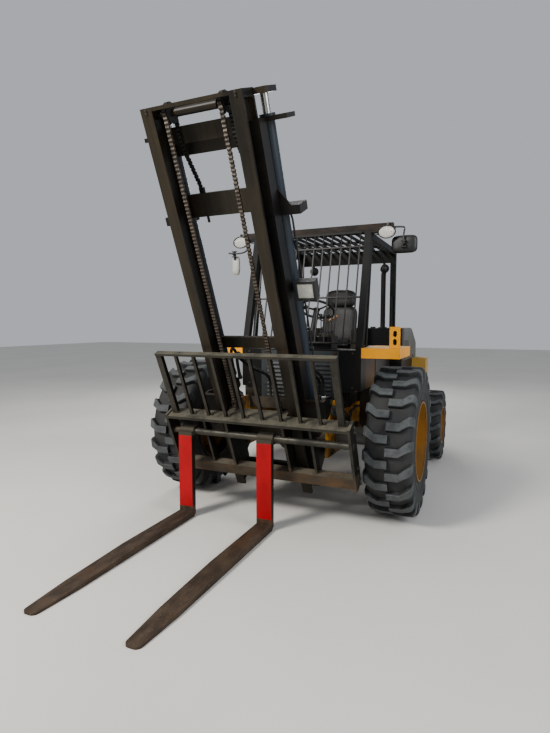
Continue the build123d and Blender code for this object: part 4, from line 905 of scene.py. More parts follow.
for t in TYRES:
    for side_name, side in (("left", 1), ("right", -1)):
        centre = at(side * t.x, t.station, t.radius)
        axis = ACROSS * side
        body = f"wheel_{t.axle}_{side_name}"
        carcass = Shape()
        carcass.lathe(centre, axis, tyre_section(t), 112)
        # drop the two end caps of the carcass: the bead is open round the rim
        carcass.f = [f for f in carcass.f if len(f) == 4]
        tyre = carcass.piece(f"{t.axle}_tyre_body_{side_name}", "rubber", body, angle=50)
        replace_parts(tyre, f"{t.axle}_tyre_{side_name}")
        lugs = Shape()
        add_lugs(lugs, t, centre, side)
        tread = lugs.piece(f"{t.axle}_tyre_lugs_{side_name}", "tread_rubber", body, angle=28)
        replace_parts(tread, f"{t.axle}_tyre_{side_name}")
        crown = tread.data.attributes.new("crown", "FLOAT", "POINT")
        for i in range(len(tread.data.vertices)):
            crown.data[i].value = CROWN[i % len(CROWN)]
        rings = Shape()
        for s in SIDES:
            for above, inset in ((0.055, 0.0135), (0.075, 0.0095)):
                # a rib whose height on the sidewall goes with the tyre's size
                rib_r = t.rim_radius + above * t.radius / TYRES[0].radius
                profile = [(s * side * (t.half - inset + 0.004 * math.cos(a)), rib_r + 0.0035 * math.sin(a))
                           for a in turns(8)]
                rings.lathe(centre, ACROSS, profile, 96, closed=True)
        rings.piece(f"{t.axle}_tyre_rings_{side_name}", "rubber", body, angle=60)
        hub = Shape()
        add_hub(hub, t, centre, axis)
        hub.piece(f"{t.axle}_hub_fittings_{side_name}", "rim_yellow", body, angle=30)

# Lift chains: plates and pins of a leaf chain
CHAIN_HALF, CHAIN_PITCH = 0.0135, 0.0254


def leaf_chain(shape, points):
    """Alternating plate packs along a path, with their pins across the machine."""
    lengths = [0.0]
    for a, b in zip(points, points[1:]):
        lengths.append(lengths[-1] + (b - a).length)

    def along(d):
        for i in range(len(points) - 1):
            if d <= lengths[i + 1] + 1e-9:
                return points[i].lerp(points[i + 1], (d - lengths[i]) / (lengths[i + 1] - lengths[i]))
        return points[-1]

    pins = [along(k * CHAIN_PITCH) for k in range(int(lengths[-1] / CHAIN_PITCH) + 1)]
    high, waist, pin_r = CHAIN_PITCH * 0.42, CHAIN_PITCH * 0.20, CHAIN_PITCH * 0.17
    # eight slots across, the plates of neighbouring packs in every other one
    slot_half = CHAIN_HALF / 8
    plate = ACROSS * slot_half * 0.9
    for k, (a, b) in enumerate(zip(pins, pins[1:])):
        run = (b - a).normalized()
        out = ACROSS.cross(run).normalized()
        outline = []
        for pin, sign in ((a, -1), (b, 1)):
            for degrees in (90, 40, -40, -90) if sign > 0 else (-90, -140, -220, -270):
                t = math.radians(degrees)
                outline.append(pin + run * (math.cos(t) * high * 0.9) + out * (math.sin(t) * high))
            outline.append((a + b) / 2 - out * (waist * sign))
        for slot in range(k % 2, 8, 2):
            middle = ACROSS * (-CHAIN_HALF + slot_half * (2 * slot + 1))
            shape.prism([p + middle - plate for p in outline], plate * 2)
        shape.lathe(b - ACROSS * (CHAIN_HALF + 0.001), ACROSS,
                    [(0, pin_r), (2 * CHAIN_HALF + 0.002, pin_r)], 8)


chain_q = SHEAVE_Q - SHEAVE_R - 0.007
front_run = Shape()
flanges = Shape()
for side in SIDES:
    x = side * CHAIN_X
    leaf_chain(front_run, [mast(x, chain_q, SHEAVE_S), mast(x, chain_q, CARRIAGE_TOP + 0.075)])
    for dx in (-0.021, 0.018):
        flanges.lathe(mast(x + dx, SHEAVE_Q, SHEAVE_S), ACROSS,
                      [(0, 0.062), (0.0015, 0.0635), (0.003, 0.062)], 28)
chains = front_run.piece("lift_chain_links", "chain_steel", "mast_inner", angle=30)
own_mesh(chains)
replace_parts(chains, "lift_chains")
sleeve = Shape()
sleeve.lathe(mast(-0.150, SHEAVE_Q, SHEAVE_S), ACROSS, [(0, 0.027), (0.300, 0.027)], 28)
sleeve.piece("sheave_sleeve", "mast_black", "mast_inner", angle=30)
flanges.piece("sheave_flanges", "chain_steel_shaded", "mast_inner", angle=30)

# Clevis, rod and nuts of each chain on the carriage's top plate
anchors = Shape()
for side in SIDES:
    x = side * CHAIN_X
    for x0, x1, s0, s1 in ((-0.019, -0.0145, 0.040, 0.092), (0.0145, 0.019, 0.040, 0.092),
                           (-0.019, 0.019, 0.036, 0.048)):
        anchors.box((x + x0, chain_q - 0.013, CARRIAGE_TOP + s0),
                    (x + x1, chain_q + 0.013, CARRIAGE_TOP + s1), mast)
    anchors.lathe(mast(x, chain_q, CARRIAGE_TOP - 0.004), MAST_UP, [(0, 0.010), (0.042, 0.010)], 14)
    anchors.nut(mast(x, chain_q, CARRIAGE_TOP), MAST_UP, 0.028, 0.016)
    anchors.nut(mast(x, chain_q, CARRIAGE_TOP - 0.030), -MAST_UP, 0.028, 0.016, stud=0.02)
anchors.piece("chain_anchors", "chain_steel", "carriage", angle=30)


# Seat: three padded cushions
def pad(name, low, high, node, sink=0.0, shear=0.0, power=5.0):
    """A rounded block in the box low..high, pulled in at the seam and crowned above and below."""
    middle, half = (low + high) / 2, (high - low) / 2
    pinch = 0.048
    bm = bmesh.new()
    bmesh.ops.create_cube(bm, size=2.0)
    bmesh.ops.subdivide_edges(bm, edges=bm.edges[:], cuts=9, use_grid_fill=True)
    for v in bm.verts:
        # round the cube towards a superellipsoid
        x, y, z = v.co / (abs(v.co.x) ** power + abs(v.co.y) ** power + abs(v.co.z) ** power) ** (1 / power)
        seam = 1 - pinch * (1 - abs(z))
        swell = 1 - sink * (1 - (1 - x * x) * (1 - y * y)) if abs(z) > 0.4 else 1
        v.co = Vector((x * half.x * seam, y * half.y * seam, z * half.z * swell)) + middle
        v.co.y += shear * (v.co.z - low.z)
    mesh = bpy.data.meshes.new(name)
    bm.to_mesh(mesh)
    bm.free()
    for p in mesh.polygons:
        p.use_smooth = True
    obj = add_object(name, mesh)
    mesh.materials.append(MATS["seat_vinyl"])
    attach(obj, "chassis")
    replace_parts(obj, node)


pad("seat_cushion_pad", at(-0.220, 1.040, 1.372), at(0.220, 1.418, 1.478), "seat_cushion", sink=0.16)
pad("seat_back_pad", at(-0.218, 1.424, 1.392), at(0.218, 1.530, 1.860), "seat_back", shear=0.155, power=4.5)
pad("seat_head_pad", at(-0.190, 1.482, 1.832), at(0.190, 1.596, 2.055), "seat_back", shear=0.12, power=3.2)

# Steering wheel: ring with grips and three spokes
wheel_axis = Vector((0, 0.55, 1)).normalized()
wheel_c = at(0.050, 0.375, DASH_TOP) + wheel_axis * 0.310
wheel_w = wheel_axis.cross(ACROSS)
WHEEL_R, GRIP_R, RIDGE_R = 0.178, 0.0125, 0.0137
sw = Shape()
rings = []
for a in turns(40):
    out = spoke(ACROSS, wheel_w, a)
    section = [RIDGE_R if j in (3, 4, 8, 9) else GRIP_R for j in range(12)]
    rings.append([wheel_c + out * WHEEL_R + spoke(out, wheel_axis, b) * r
                  for b, r in zip(turns(12), section)])
sw.skin(rings, closed=True)
sw.lathe(wheel_c - wheel_axis * 0.022, wheel_axis,
         [(0, 0.022), (0.010, 0.034), (0.026, 0.036), (0.032, 0.030), (0.035, 0.0)], 28)
for degrees in (90, 210, 330):
    d = spoke(ACROSS, wheel_w, math.radians(degrees))
    sw.tube([wheel_c + d * 0.02 - wheel_axis * 0.006, wheel_c + d * 0.09 - wheel_axis * 0.010,
             wheel_c + d * 0.176], [0.012, 0.009, 0.008], 10)
sw_piece = sw.piece("steering_wheel_ring", "plastic_black", "chassis", angle=50)
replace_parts(sw_piece, "steering_wheel")

# Direction lever on the column, with its tan grip
stalk = wheel_c - wheel_axis * 0.100
grip_low, grip_high = at(0.186, 0.483, 1.672), at(0.292, 0.483, 1.726)
lever = Shape()
lever.tube(route([stalk, stalk + Vector((0.060, 0, -0.012)), grip_low + Vector((-0.03, 0, -0.018)),
                  grip_low + Vector((0.02, 0, 0.010))]), 0.006, 10)
lever.piece("direction_lever", "plastic_black", angle=50)
handle = Shape()
handle.lathe(grip_low, grip_high - grip_low,
             [(0, 0.0), (0.002, 0.009), (0.030, 0.012), (0.090, 0.015), (0.112, 0.013), (0.119, 0.0)], 20)
handle.piece("direction_lever_grip", "lever_tan", angle=50)

# The guard's bars go on above its top rail, to a rail welded to the header
guard_up = Vector((0, 0.25625, 1)).normalized()
tops = Shape()
for k in range(12):
    bar = at(-0.5115 + 0.093 * k, 0.190, 1.400)
    tops.tube([bar + guard_up * 1.020, bar + guard_up * 1.165], 0.0065, 10)
tops.box((-0.526, 0.472, 2.519), (0.526, 0.4968, 2.537))
tops.piece("guard_bar_tops", "canopy_black", angle=45)

# Control levers with rubber boots and shaped knobs
levers, boots, knobs = Shape(), Shape(), Shape()
levers.box((0.150, 0.290, DASH_TOP + 0.001), (0.295, 0.370, DASH_TOP + 0.028))
for k in range(4):
    foot = at(0.165 + 0.037 * k, 0.330, DASH_TOP + 0.026)
    boots.lathe(foot, UP, [(0, 0.017), (0.006, 0.0155), (0.008, 0.017), (0.014, 0.013), (0.016, 0.0145),
                           (0.022, 0.0105), (0.024, 0.012), (0.030, 0.008), (0.034, 0.0065)], 16)
    levers.tube([foot, foot + Vector((0, -0.004, 0.09)), foot + Vector((0, -0.006, 0.160))], 0.0055, 10)
    knobs.lathe(foot + Vector((0, -0.006, 0.152)), UP, [(0, 0.007), (0.006, 0.012), (0.020, 0.0165),
                                                        (0.034, 0.0160), (0.044, 0.0105), (0.048, 0.0)], 18)
lp = levers.piece("control_lever_rods", "bolt_steel", "chassis", angle=35)
kp = knobs.piece("control_lever_knobs", "plastic_black", "chassis", angle=50)
bp = boots.piece("control_lever_boots", "plastic_black", "chassis", angle=50)
for p in (lp, kp, bp):
    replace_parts(p, "control_levers")


# Work lamps: oval front pair on the header, round rear pair, each a shell, a bezel and a ribbed lens
def lamp(name, centre, facing, radius, stretch, depth):
    shell, lens = Shape(), Shape()
    cup = [(-depth * a, radius * r) for a, r in ((0.96, 0.42), (0.7, 0.72), (0.25, 0.93), (0, 0.97))]
    bezel = [(a, radius * r)
             for a, r in ((0.004, 1), (0.014, 1), (0.017, 0.97), (0.015, 0.90), (0.008, 0.88))]
    shell.lathe(centre, facing, [(-depth, 0.012)] + cup + bezel, 40)
    lens.lathe(centre, facing, [(0.006, radius * 0.89), (0.011, radius * 0.80), (0.016, radius * 0.5),
                                (0.0175, 0.0)], 40)
    for v in shell.v + lens.v:
        v.x = centre.x + (v.x - centre.x) * stretch
    back = shell.piece(name, "lamp_housing", angle=40)
    lens.piece(name + "_lens", "lens", angle=60)
    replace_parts(back, "work_lamps")


bracket = Shape()
for i, x in enumerate((0.772, -0.772)):
    lamp(f"work_lamp_front_{i}", at(x, 0.430, 2.503), -REAR, 0.062, 1.38, 0.060)
    bracket.box((x - 0.014, 0.478, 2.530), (x + 0.014, 0.497, 2.600))
    for dx in (-0.070, 0.066):
        bracket.box((x + dx, 0.425, 2.490), (x + dx + 0.004, 0.490, 2.548))
    bracket.box((x - 0.070, 0.470, 2.540), (x + 0.070, 0.492, 2.546))
for i, x in enumerate((-0.416, 0.480)):
    lamp(f"work_lamp_rear_{i}", at(x, 1.760, 2.306), REAR, 0.055, 1.0, 0.055)
    bracket.box((x - 0.012, 1.733, 2.345), (x + 0.012, 1.757, 2.372))
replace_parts(bracket.piece("work_lamp_brackets", "lamp_housing", "chassis", bevel=0.0015), "work_lamps")

# Mast lamp: a square lens in a rubber frame
glass_face, frame_bars = Shape(), Shape()
glass_face.box((0.446, 0.1625, 1.931), (0.564, 0.171, 2.039), mast)
for x0, x1, s0, s1 in ((0.430, 0.448, 1.915, 2.055), (0.562, 0.580, 1.915, 2.055),
                       (0.446, 0.564, 1.915, 1.933), (0.446, 0.564, 2.037, 2.055)):
    frame_bars.box((x0, 0.158, s0), (x1, 0.172, s1), mast)
glass_face.piece("mast_lamp_lens", "lens", "mast_outer", bevel=0.002)
frame_bars.piece("mast_lamp_frame", "lamp_housing", "mast_outer", bevel=0.0015)


# Mirrors: a domed back and a flat glass toward the operator
MIRROR_POINTS, MIRROR_POWER = 36, 4.5
# shares of the head's width and height that the glass takes
GLASS_SHARE = (0.94, 0.92)


def mirror_ring(head, y, wide, high):
    """The rounded outline of a mirror's head, at shares of its width and height."""
    cx, cz, hw, hh = head
    ring = []
    for a in turns(MIRROR_POINTS):
        c, s = (math.copysign(abs(v) ** (2 / MIRROR_POWER), v) for v in (math.cos(a), math.sin(a)))
        ring.append((cx + c * hw * wide, y, cz + s * hh * high))
    return ring


for i, head in enumerate(MIRROR_HEADS):
    back, face = Shape(), Shape()
    dome = ((0.0, 1.0), (0.006, 1.0), (0.018, 0.94), (0.028, 0.80), (0.033, 0.55), (0.034, 0.0))
    back.skin([mirror_ring(head, MIRROR_Y - d, k, k) for d, k in dome])
    back.skin([mirror_ring(head, MIRROR_Y, 1, 1), mirror_ring(head, MIRROR_Y, *GLASS_SHARE)])
    face.add(mirror_ring(head, MIRROR_Y - 0.002, *GLASS_SHARE), [tuple(range(MIRROR_POINTS))])
    back.piece(f"mirror_back_{i}", MATS["mirror_shell_pale" if i else "plastic_black"], angle=60)
    face.piece(f"mirror_face_{i}", "mirror_glass", smooth=False)

# Mirror arms: the left one leaves the header's end, the right one loops under the lamp
arms = Shape()
ARMS = (
    (at(0.8155, 0.5265, 2.562), at(0.910, 0.5265, 2.562), at(0.925, 0.500, 2.535), at(0.925, 0.444, 2.493),
     at(0.925, 0.440, 2.400)),
    (at(-0.745, 0.4965, 2.556), at(-0.712, 0.450, 2.540), at(-0.690, 0.440, 2.440),
     at(-0.730, 0.440, 2.395), at(-0.862, 0.440, 2.390), at(-0.925, 0.440, 2.402)),
)
for (cx, cz, _, hh), points, side in zip(MIRROR_HEADS, ARMS, SIDES):
    arms.tube(route(points), 0.0085)
    grip = cz if side > 0 else cz + hh + 0.018
    arms.lathe(at(cx, 0.440, grip), REAR, [(-0.012, 0.016), (0.010, 0.020), (0.026, 0.014)], 20)
    arms.nut(at(cx, 0.428, grip), -REAR, 0.016, 0.010)
    for dz in (-0.032, 0.022):
        arms.box((cx - 0.024, 0.432, grip + dz), (cx + 0.024, 0.466, grip + dz + 0.008))
    if side < 0:
        arms.box((cx - 0.012, 0.452, grip - 0.060), (cx + 0.012, 0.468, grip + 0.020))
arms.box((0.8112, 0.508, 2.540), (0.8192, 0.545, 2.584))
arms.box((-0.770, 0.490, 2.536), (-0.720, 0.4968, 2.576))
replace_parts(arms.piece("mirror_arms", "plastic_black", "chassis", angle=45), "mirrors")


# Bolts, on the faces that they hold
def bolt_row(name, body, across, height, axis, centres):
    """Bolt heads of one size; an axis of None points outward on each side."""
    shape = Shape()
    for centre in centres:
        shape.nut(centre, axis or ACROSS * math.copysign(1, centre.x), across, height)
    obj = shape.piece(name, "bolt_steel", body, angle=30)


bolt_row("mast_bolts", "mast_outer", 0.022, 0.012, MAST_BACK,
         [mast(side * (0.342 - 0.045 * k), 0.238, s)
          for side in SIDES for k in (0, 1) for s in (3.005, 2.680, 2.585, 1.548, 0.710, 0.305)])
bolt_row("head_bolts", "mast_inner", 0.014, 0.006, -MAST_BACK,
         [mast(side * 0.318, -0.0005, s) for side in SIDES for s in (3.255, 3.272)])
bolt_row("carriage_bolts", "carriage", 0.026, 0.014, None,
         [mast(side * 0.8052, -0.060, s) for side in SIDES for s in (0.470, 0.505, 0.620, 0.960, 0.995)])
bolt_row("guard_bolts", "carriage", 0.020, 0.011, MAST_UP,
         [mast(-0.70 + 0.162 * k, -0.075, 1.0205) for k in range(10)])
bolt_row("canopy_bolts", "chassis", 0.018, 0.010, UP,
         [at(side * x, d, 1.4355) for side in SIDES for x in (0.570, 0.608) for d in (0.178, 0.268)])
bolt_row("cowl_bolts", "chassis", 0.015, 0.007, -REAR,
         [at(x, 0.1495, z) for x in (-0.535, -0.36, 0.0, 0.36, 0.535) for z in (1.05, 1.37)])
bolt_row("pivot_bolts", "chassis", 0.016, 0.009, None,
         [at(side * 0.4645, -0.220, 0.560) + spoke(REAR, UP, a) * 0.030
          for side in SIDES for a in (0.5, 2.6, 4.7)])
bolt_row("counterweight_bolts", "chassis", 0.040, 0.022, REAR,
         [at(side * x, 2.9975, z) for side in SIDES for x in (0.52, 0.72) for z in (0.66, 1.02)])
bolt_row("hood_bolts", "hood", 0.014, 0.007, None,
         [at(side * 0.7005, d, 1.215) for side in SIDES for d in (1.98, 2.30, 2.62)])


# Weld beads along the carriage's plates, the guard's uprights and the mast's cross members
def bead(shape, a, b, radius=0.004):
    n = max(3, int((b - a).length / 0.007))
    points = [a.lerp(b, k / n) for k in range(n + 1)]
    shape.tube(points, [radius * (0.8 + 0.35 * (k % 2)) for k in range(n + 1)], 6)


beads, mast_beads = Shape(), Shape()
UPRIGHTS, UPRIGHT_X = 10, 0.730
for k in range(UPRIGHTS):
    x = UPRIGHT_X * (2 * k / (UPRIGHTS - 1) - 1)
    w = 0.025 if k in (0, UPRIGHTS - 1) else 0.012
    for s, radius in ((1.0215, 0.004), (1.569, 0.003)):
        bead(beads, mast(x - w, -0.0925, s), mast(x + w, -0.0925, s), radius)
for side in SIDES:
    for q0, q1, s in ((-0.090, -0.030, 0.539), (-0.125, -0.020, 0.993)):
        bead(beads, mast(side * 0.782, q0, s), mast(side * 0.782, q1, s))
for s, h in ((2.968, 0.075), (2.552, 0.160), (1.500, 0.095)):
    for side in SIDES:
        bead(mast_beads, mast(side * 0.3725, 0.2385, s), mast(side * 0.3725, 0.2385, s + h))
beads.piece("weld_beads", "mast_black", "carriage", angle=60)
mast_beads.piece("mast_weld_beads", "mast_black", "mast_outer", angle=60)

# Steel pipes of the lift cylinders, with their clamps and nuts
pipes, clamps = Shape(), Shape()
for side in SIDES:
    x = side * 0.428
    line = [mast(x, q, s) for q, s in ((0.300, 1.290), (0.316, 1.325), (0.318, 1.370), (0.318, 1.6),
                                       (0.318, 2.42), (0.316, 2.47))]
    pipes.tube(route(line + [mast(x - side * 0.006, 0.306, 2.505)], 10), 0.0075, 10)
    for s in (1.45, 1.80, 2.30):
        clamps.box((x - 0.013, 0.300, s - 0.012), (x + 0.013, 0.331, s + 0.012), mast)
    clamps.lathe(mast(x, 0.300, 1.275), MAST_UP, [(0, 0.012), (0.030, 0.012), (0.034, 0.0085)], 6)
pipes.piece("lift_pipes", "hose", "mast_outer", angle=50)
clamps.piece("lift_pipe_clamps", "lamp_housing", "mast_outer", bevel=0.002)

# The chains' rear run, over the sheaves and down to anchors on the outer mast
rear_run, rear_anchor = Shape(), Shape()
for side in SIDES:
    x, r = side * CHAIN_X, SHEAVE_R + 0.007
    arc = [mast(x, SHEAVE_Q - r * math.cos(a), SHEAVE_S + r * math.sin(a)) for a in turns(18)[:10]]
    leaf_chain(rear_run, arc + [mast(x, 0.137, 3.150), mast(x, 0.136, 3.045), mast(x, 0.262, 2.740)])
    rear_anchor.box((x - 0.019, 0.252, 2.695), (x + 0.019, 0.274, 2.745), mast)
    rear_anchor.box((x - 0.034, 0.2375, 2.590), (x + 0.034, 0.286, 2.615), mast)
    rear_anchor.lathe(mast(x, 0.263, 2.500), MAST_UP, [(0, 0.009), (0.004, 0.010), (0.200, 0.010)], 12)
    for s, way, height in ((2.615, 1, 0.016), (2.590, -1, 0.016), (2.572, -1, 0.014)):
        rear_anchor.nut(mast(x, 0.263, s), MAST_UP * way, 0.030, height)
rear = rear_run.piece("lift_chain_rear_links", "chain_steel_shaded", None, angle=30)
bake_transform(rear)
rear_anchor.piece("rear_chain_anchors", "chain_steel_shaded", "mast_outer", angle=30)

hoses, low_ends, top_ends = Shape(), Shape(), Shape()
# x at the frame, x at the mast, station and height at the frame, along the mast at the top, radius
HOSES = (
    (0.300, 0.300, 0.02, 0.95, 1.250, 0.013),
    (0.262, 0.262, 0.03, 0.93, 1.210, 0.013),
    (0.222, 0.225, 0.02, 0.91, 1.170, 0.013),
    (0.180, 0.184, 0.03, 0.90, 1.120, 0.010),
    (-0.200, -0.240, 0.02, 0.92, 1.200, 0.013),
    (-0.246, -0.285, 0.03, 0.94, 1.240, 0.013),
)
for x0, x1, d, z, s_top, r in HOSES:
    foot, top = at(x0, d, z), mast(x1, 0.262, s_top)
    hoses.tube(route([foot, foot + Vector((0, 0, 0.06)), at(x0, d - 0.02, z + 0.22),
                      mast(x1, 0.40, s_top + 0.02), mast(x1, 0.33, s_top + 0.22),
                      mast(x1, 0.262, s_top + 0.16), top]), r)
    for shape, end, axis, length in ((low_ends, foot - UP * 0.01, UP, 0.045),
                                     (top_ends, top - MAST_UP * 0.02, MAST_UP, 0.05)):
        shape.lathe(end, axis, [(0, r * 1.5), (0.022, r * 1.5), (0.024, r * 1.25), (length, r * 1.25)], 6)
low_ends.piece("hose_ends_frame", "bolt_steel", angle=30)
top_ends.piece("hose_ends_mast", "bolt_steel", "mast_outer", angle=30)
hp = hoses.piece("mast_hoses", "hose", None, angle=60)
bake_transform(hp)

# Pressed lips over the louvres of the cowl and the hood
lips = Shape()
for x in (-0.230, 0.230):
    for k in range(9):
        lips.louvre(at(x, 0.150, 0.948 + 0.040 * k), ACROSS, -UP, -REAR, 0.206, 0.018, 0.011)
lips.piece("cowl_louvres", "cowl_paint", angle=30)
lips = Shape()
for side in SIDES:
    for k in range(8):
        lips.louvre(at(side * HOOD_HALF, 1.990 + 0.034 * k, 1.350), UP, REAR, ACROSS * side,
                    0.166, 0.012, 0.008)
lips.piece("hood_louvres", "hood_beige", "hood", angle=30)

# Instruments on the face of the dash that looks at the seat
panel, rims, dials, signs = Shape(), Shape(), Shape(), Shape()
FACE, DIAL_Z, NEEDLE = 0.4440, 1.476, 0.014
panel.box((-0.280, 0.4403, 1.410), (-0.040, FACE, 1.508))
for k in range(4):
    x, a = -0.248 + 0.056 * k, 2.4 - 0.5 * k
    rims.lathe(at(x, FACE, DIAL_Z), REAR, [(0, 0.0245), (0.006, 0.0245), (0.009, 0.0225), (0.0085, 0.0195),
                                           (0.003, 0.0195)], 32)
    dials.lathe(at(x, FACE, DIAL_Z), REAR, [(0.0005, 0.0195), (0.004, 0.0193), (0.0045, 0.0)], 32)
    signs.tube([at(x, 0.4490, DIAL_Z), at(x + NEEDLE * math.cos(a), 0.4490, DIAL_Z + NEEDLE * math.sin(a))],
               0.0009, 6)
for k in range(6):
    signs.lathe(at(-0.258 + 0.030 * k, FACE, 1.428), REAR, [(0, 0.0055), (0.003, 0.005), (0.004, 0.0)], 14)
rims.lathe(at(-0.064, FACE, 1.434), REAR, [(0, 0.013), (0.004, 0.013), (0.006, 0.011)], 20)
rims.box((-0.0650, 0.4480, 1.426), (-0.0630, 0.4700, 1.442))
panel.piece("dash_panel", "plastic_black", bevel=0.0015)
rims.piece("dash_rims", "bolt_steel", angle=30)
dials.piece("dash_dials", "dial_face", angle=40)
signs.piece("dash_signs", "knob_tan", angle=40)

# Pedals hang below the dash, over a ribbed mat
pads, stems, mat = Shape(), Shape(), Shape()
# x, half width, station, height
PEDALS = ((-0.190, 0.034, 0.372, 1.100), (-0.075, 0.048, 0.372, 1.100), (0.205, 0.030, 0.392, 1.080))
for x, half, d, z in PEDALS:
    def tread(a, b, c, x=x, d=d, z=z):
        """A point on the tilted pedal."""
        return at(x + a, d + b * 0.64 - c * 0.77, z + b * 0.77 + c * 0.64)

    pads.box((-half, -0.040, 0.0), (half, 0.040, 0.006), tread)
    for k in range(5):
        b = -0.033 + 0.015 * k
        pads.box((-half + 0.004, b, 0.005), (half - 0.004, b + 0.006, 0.009), tread)
    stems.tube(route([at(x, 0.290, 1.394), at(x, 0.278, 1.270), at(x, d - 0.045, z + 0.075),
                      tread(0, 0, -0.001)], 6), 0.009, 10)
    stems.lathe(at(x - 0.016, 0.290, 1.380), ACROSS, [(0, 0.015), (0.032, 0.015)], 16)
mat.box((-0.520, 0.200, 1.0083), (0.520, 0.990, 1.0120))
for k in range(34):
    x = -0.505 + 0.030 * k
    mat.box((x, 0.215, 1.0115), (x + 0.012, 0.975, 1.0155))
pads.piece("pedal_pads", "plastic_black", bevel=0.0012)
stems.piece("pedal_stems", "worn_steel", angle=45)
mat.piece("floor_mat", "plastic_black")

# Filler caps on the tanks, treads in the steps and a handle on each rear post
caps, treads, rails = Shape(), Shape(), Shape()
POST_X, CAP_X, CAP_D = 0.589, 0.700, 1.230
for side in SIDES:
    caps.lathe(at(side * CAP_X, CAP_D, 0.990), UP,
               [(0, 0.052), (0.006, 0.052), (0.008, 0.040), (0.016, 0.040)], 32)
    caps.lathe(at(side * CAP_X, CAP_D, 1.006), UP,
               [(0, 0.046), (0.004, 0.048), (0.020, 0.047), (0.026, 0.042), (0.029, 0.0)], 14)
    for z in (0.560, 0.760):
        for k in range(9):
            d = 0.875 + 0.040 * k
            treads.box((side * 0.800, d, z + 0.0005), (side * 0.898, d + 0.010, z + 0.0065))
    for z in (1.560, 1.960):
        rails.lathe(at(side * POST_X, 1.7120, z), -REAR, [(0, 0.022), (0.005, 0.020)], 20)
    rails.tube(route([at(side * POST_X, d, z) for d, z in (
        (1.7110, 1.560), (1.662, 1.560), (1.662, 1.600), (1.662, 1.920), (1.662, 1.960),
        (1.7110, 1.960))]), 0.011, 14)
caps.piece("filler_caps", "bolt_steel", angle=35)
treads.piece("step_treads", "worn_steel", bevel=0.0015)
rails.piece("grab_rails", "canopy_black", angle=45)

# Rear: lamps on the counterweight, the tow pin, the core behind the grille and the hood's latch
red, housings, pin, core, fins, latch = Shape(), Shape(), Shape(), Shape(), Shape(), Shape()
for side in SIDES:
    housings.box((side * 0.560, 2.9972, 1.060), (side * 0.720, 3.012, 1.140))
    for x0, x1 in ((0.566, 0.638), (0.642, 0.714)):
        red.box((side * x0, 3.010, 1.066), (side * x1, 3.020, 1.134))
pin.lathe(at(0, 2.952, 0.500), UP, [(0, 0.016), (0.010, 0.0195), (0.300, 0.0195), (0.306, 0.015)], 24)
pin.tube(route([at(x, 2.952, z) for x, z in ((-0.010, 0.800), (-0.030, 0.830), (0, 0.862), (0.030, 0.830),
                                             (0.010, 0.800))]), 0.006, 10)
core.box((-0.318, 2.790, 0.772), (0.318, 2.840, 1.048))
for k in range(52):
    x = -0.3065 + 0.012 * k
    fins.box((x, 2.8395, 0.790), (x + 0.0035, 2.8435, 1.030))
latch.lathe(at(0, 2.9275, 1.300), REAR, [(0, 0.034), (0.006, 0.032), (0.008, 0.020)], 28)
latch.box((-0.010, 2.934, 1.262), (0.010, 2.946, 1.338))
red.piece("rear_lamp_lenses", "lens_red", bevel=0.003)
housings.piece("rear_lamp_housings", "lamp_housing", bevel=0.002)
pin.piece("tow_pin", "worn_steel", angle=40)
core.piece("radiator_core", "grille_black", smooth=False)
fins.piece("radiator_fins", "engine_grey", smooth=False)
latch.piece("hood_latch", "bolt_steel", "hood")

# Tilt cylinders: gland rings, ports with hoses to the frame, and caps on the pins
anchor_low = at(0, 0.300, 0.650)
tilt_run = (mast(0, 0.270, 1.000) - anchor_low).normalized()
tilt_out = Vector((0, tilt_run.z, -tilt_run.y))


def on_tilt(side, d, out=0.0, dx=0.0):
    """A point of a tilt cylinder: along it from its lower pin, out of its axis and outboard."""
    return anchor_low + Vector((side * (0.495 + dx), 0, 0)) + tilt_run * d + tilt_out * out


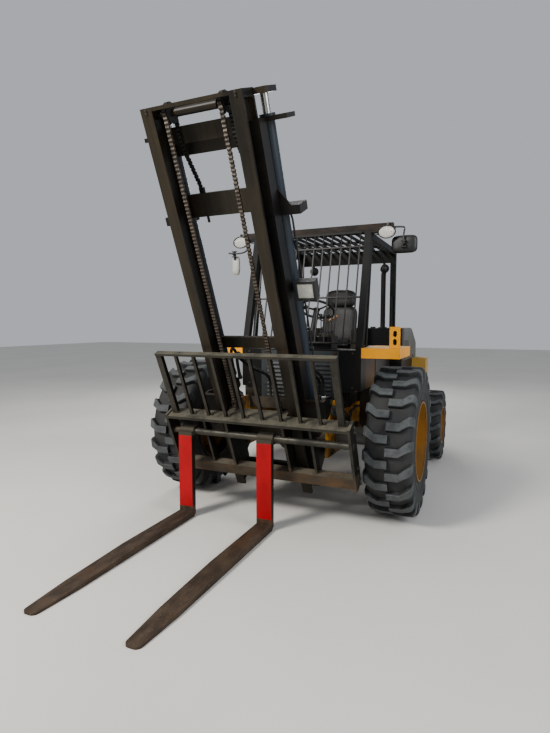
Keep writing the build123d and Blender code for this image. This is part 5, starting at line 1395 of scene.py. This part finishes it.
glands, ports, frame_ports, lines = Shape(), Shape(), Shape(), Shape()
for side in SIDES:
    glands.lathe(on_tilt(side, 0.570), tilt_run,
                 [(0, 0.0385), (0.001, 0.0435), (0.028, 0.0435), (0.031, 0.034), (0.034, 0.0215)], 32)
    glands.lathe(on_tilt(side, 0.082), tilt_run,
                 [(0, 0.030), (0.002, 0.0425), (0.018, 0.0425), (0.020, 0.0385)], 32)
    for a in turns(4, 0.5):
        p = on_tilt(side, 0.598) + spoke(ACROSS, tilt_out, a) * 0.034
        glands.nut(p, tilt_run, 0.012, 0.007, washer=False)
    for d in (0.135, 0.540):
        ports.lathe(on_tilt(side, d, 0.036), tilt_out,
                    [(0, 0.015), (0.010, 0.014), (0.012, 0.011), (0.020, 0.011)], 18)
        ports.nut(on_tilt(side, d, 0.054), tilt_out, 0.024, 0.014, washer=False)
    ports.tube(route([on_tilt(side, *place) for place in (
        (0.540, 0.066), (0.540, 0.086), (0.520, 0.088), (0.200, 0.060), (0.160, 0.060, 0.018),
        (0.150, 0.070, 0.018))]), 0.0055, 10)
    for dx, d, station, height in ((0.0, 0.135, 0.560, 0.812), (0.018, 0.150, 0.610, 0.806)):
        start, end = on_tilt(side, d, 0.070, dx), at(side * 0.4505, station, height)
        lines.tube(route([start, start + tilt_out * 0.055, start + tilt_out * 0.085 - tilt_run * 0.080,
                          end + Vector((side * 0.050, -0.110, 0.030)), end + Vector((side * 0.050, 0, 0)),
                          end + Vector((side * 0.020, 0, 0))]), 0.009)
        frame_ports.lathe(end, ACROSS * side,
                          [(0, 0.016), (0.010, 0.016), (0.012, 0.012), (0.030, 0.012)], 6)
    for centre, radius, step, count in ((at(side * 0.5535, 0.300, 0.650), 0.019, 0.010, 20),
                                        (at(side * 0.4640, -0.220, 0.560), 0.030, 0.008, 24)):
        frame_ports.lathe(centre, ACROSS * side,
                          [(0, radius), (0.004, radius), (0.006, step), (0.012, 0.004)], count)
glands.piece("tilt_glands", "barrel_grey", "tilt_barrels", angle=35)
ports.piece("tilt_ports", "bolt_steel", "tilt_barrels", angle=35)
frame_ports.piece("frame_ports", "bolt_steel", angle=35)
line_piece = lines.piece("tilt_hoses", "hose", None, angle=60)
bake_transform(line_piece)

# Cable to the header's lamps, clipped under the roof rail
wires, clips = Shape(), Shape()
for side in SIDES:
    wires.tube(route([at(side * x, d, z) for x, d, z in (
        (0.745, 0.482, 2.520), (0.730, 0.500, 2.512), (0.700, 0.562, 2.508), (0.640, 0.566, 2.508),
        (0.540, 0.566, 2.512))]), 0.004, 8)
    for x in (0.590, 0.660):
        clips.box((side * x - 0.006, 0.558, 2.502), (side * x + 0.006, 0.573, 2.517))
wires.piece("lamp_wires", "hose", angle=60)
clips.piece("lamp_wire_clips", "plastic_black", bevel=0.001)
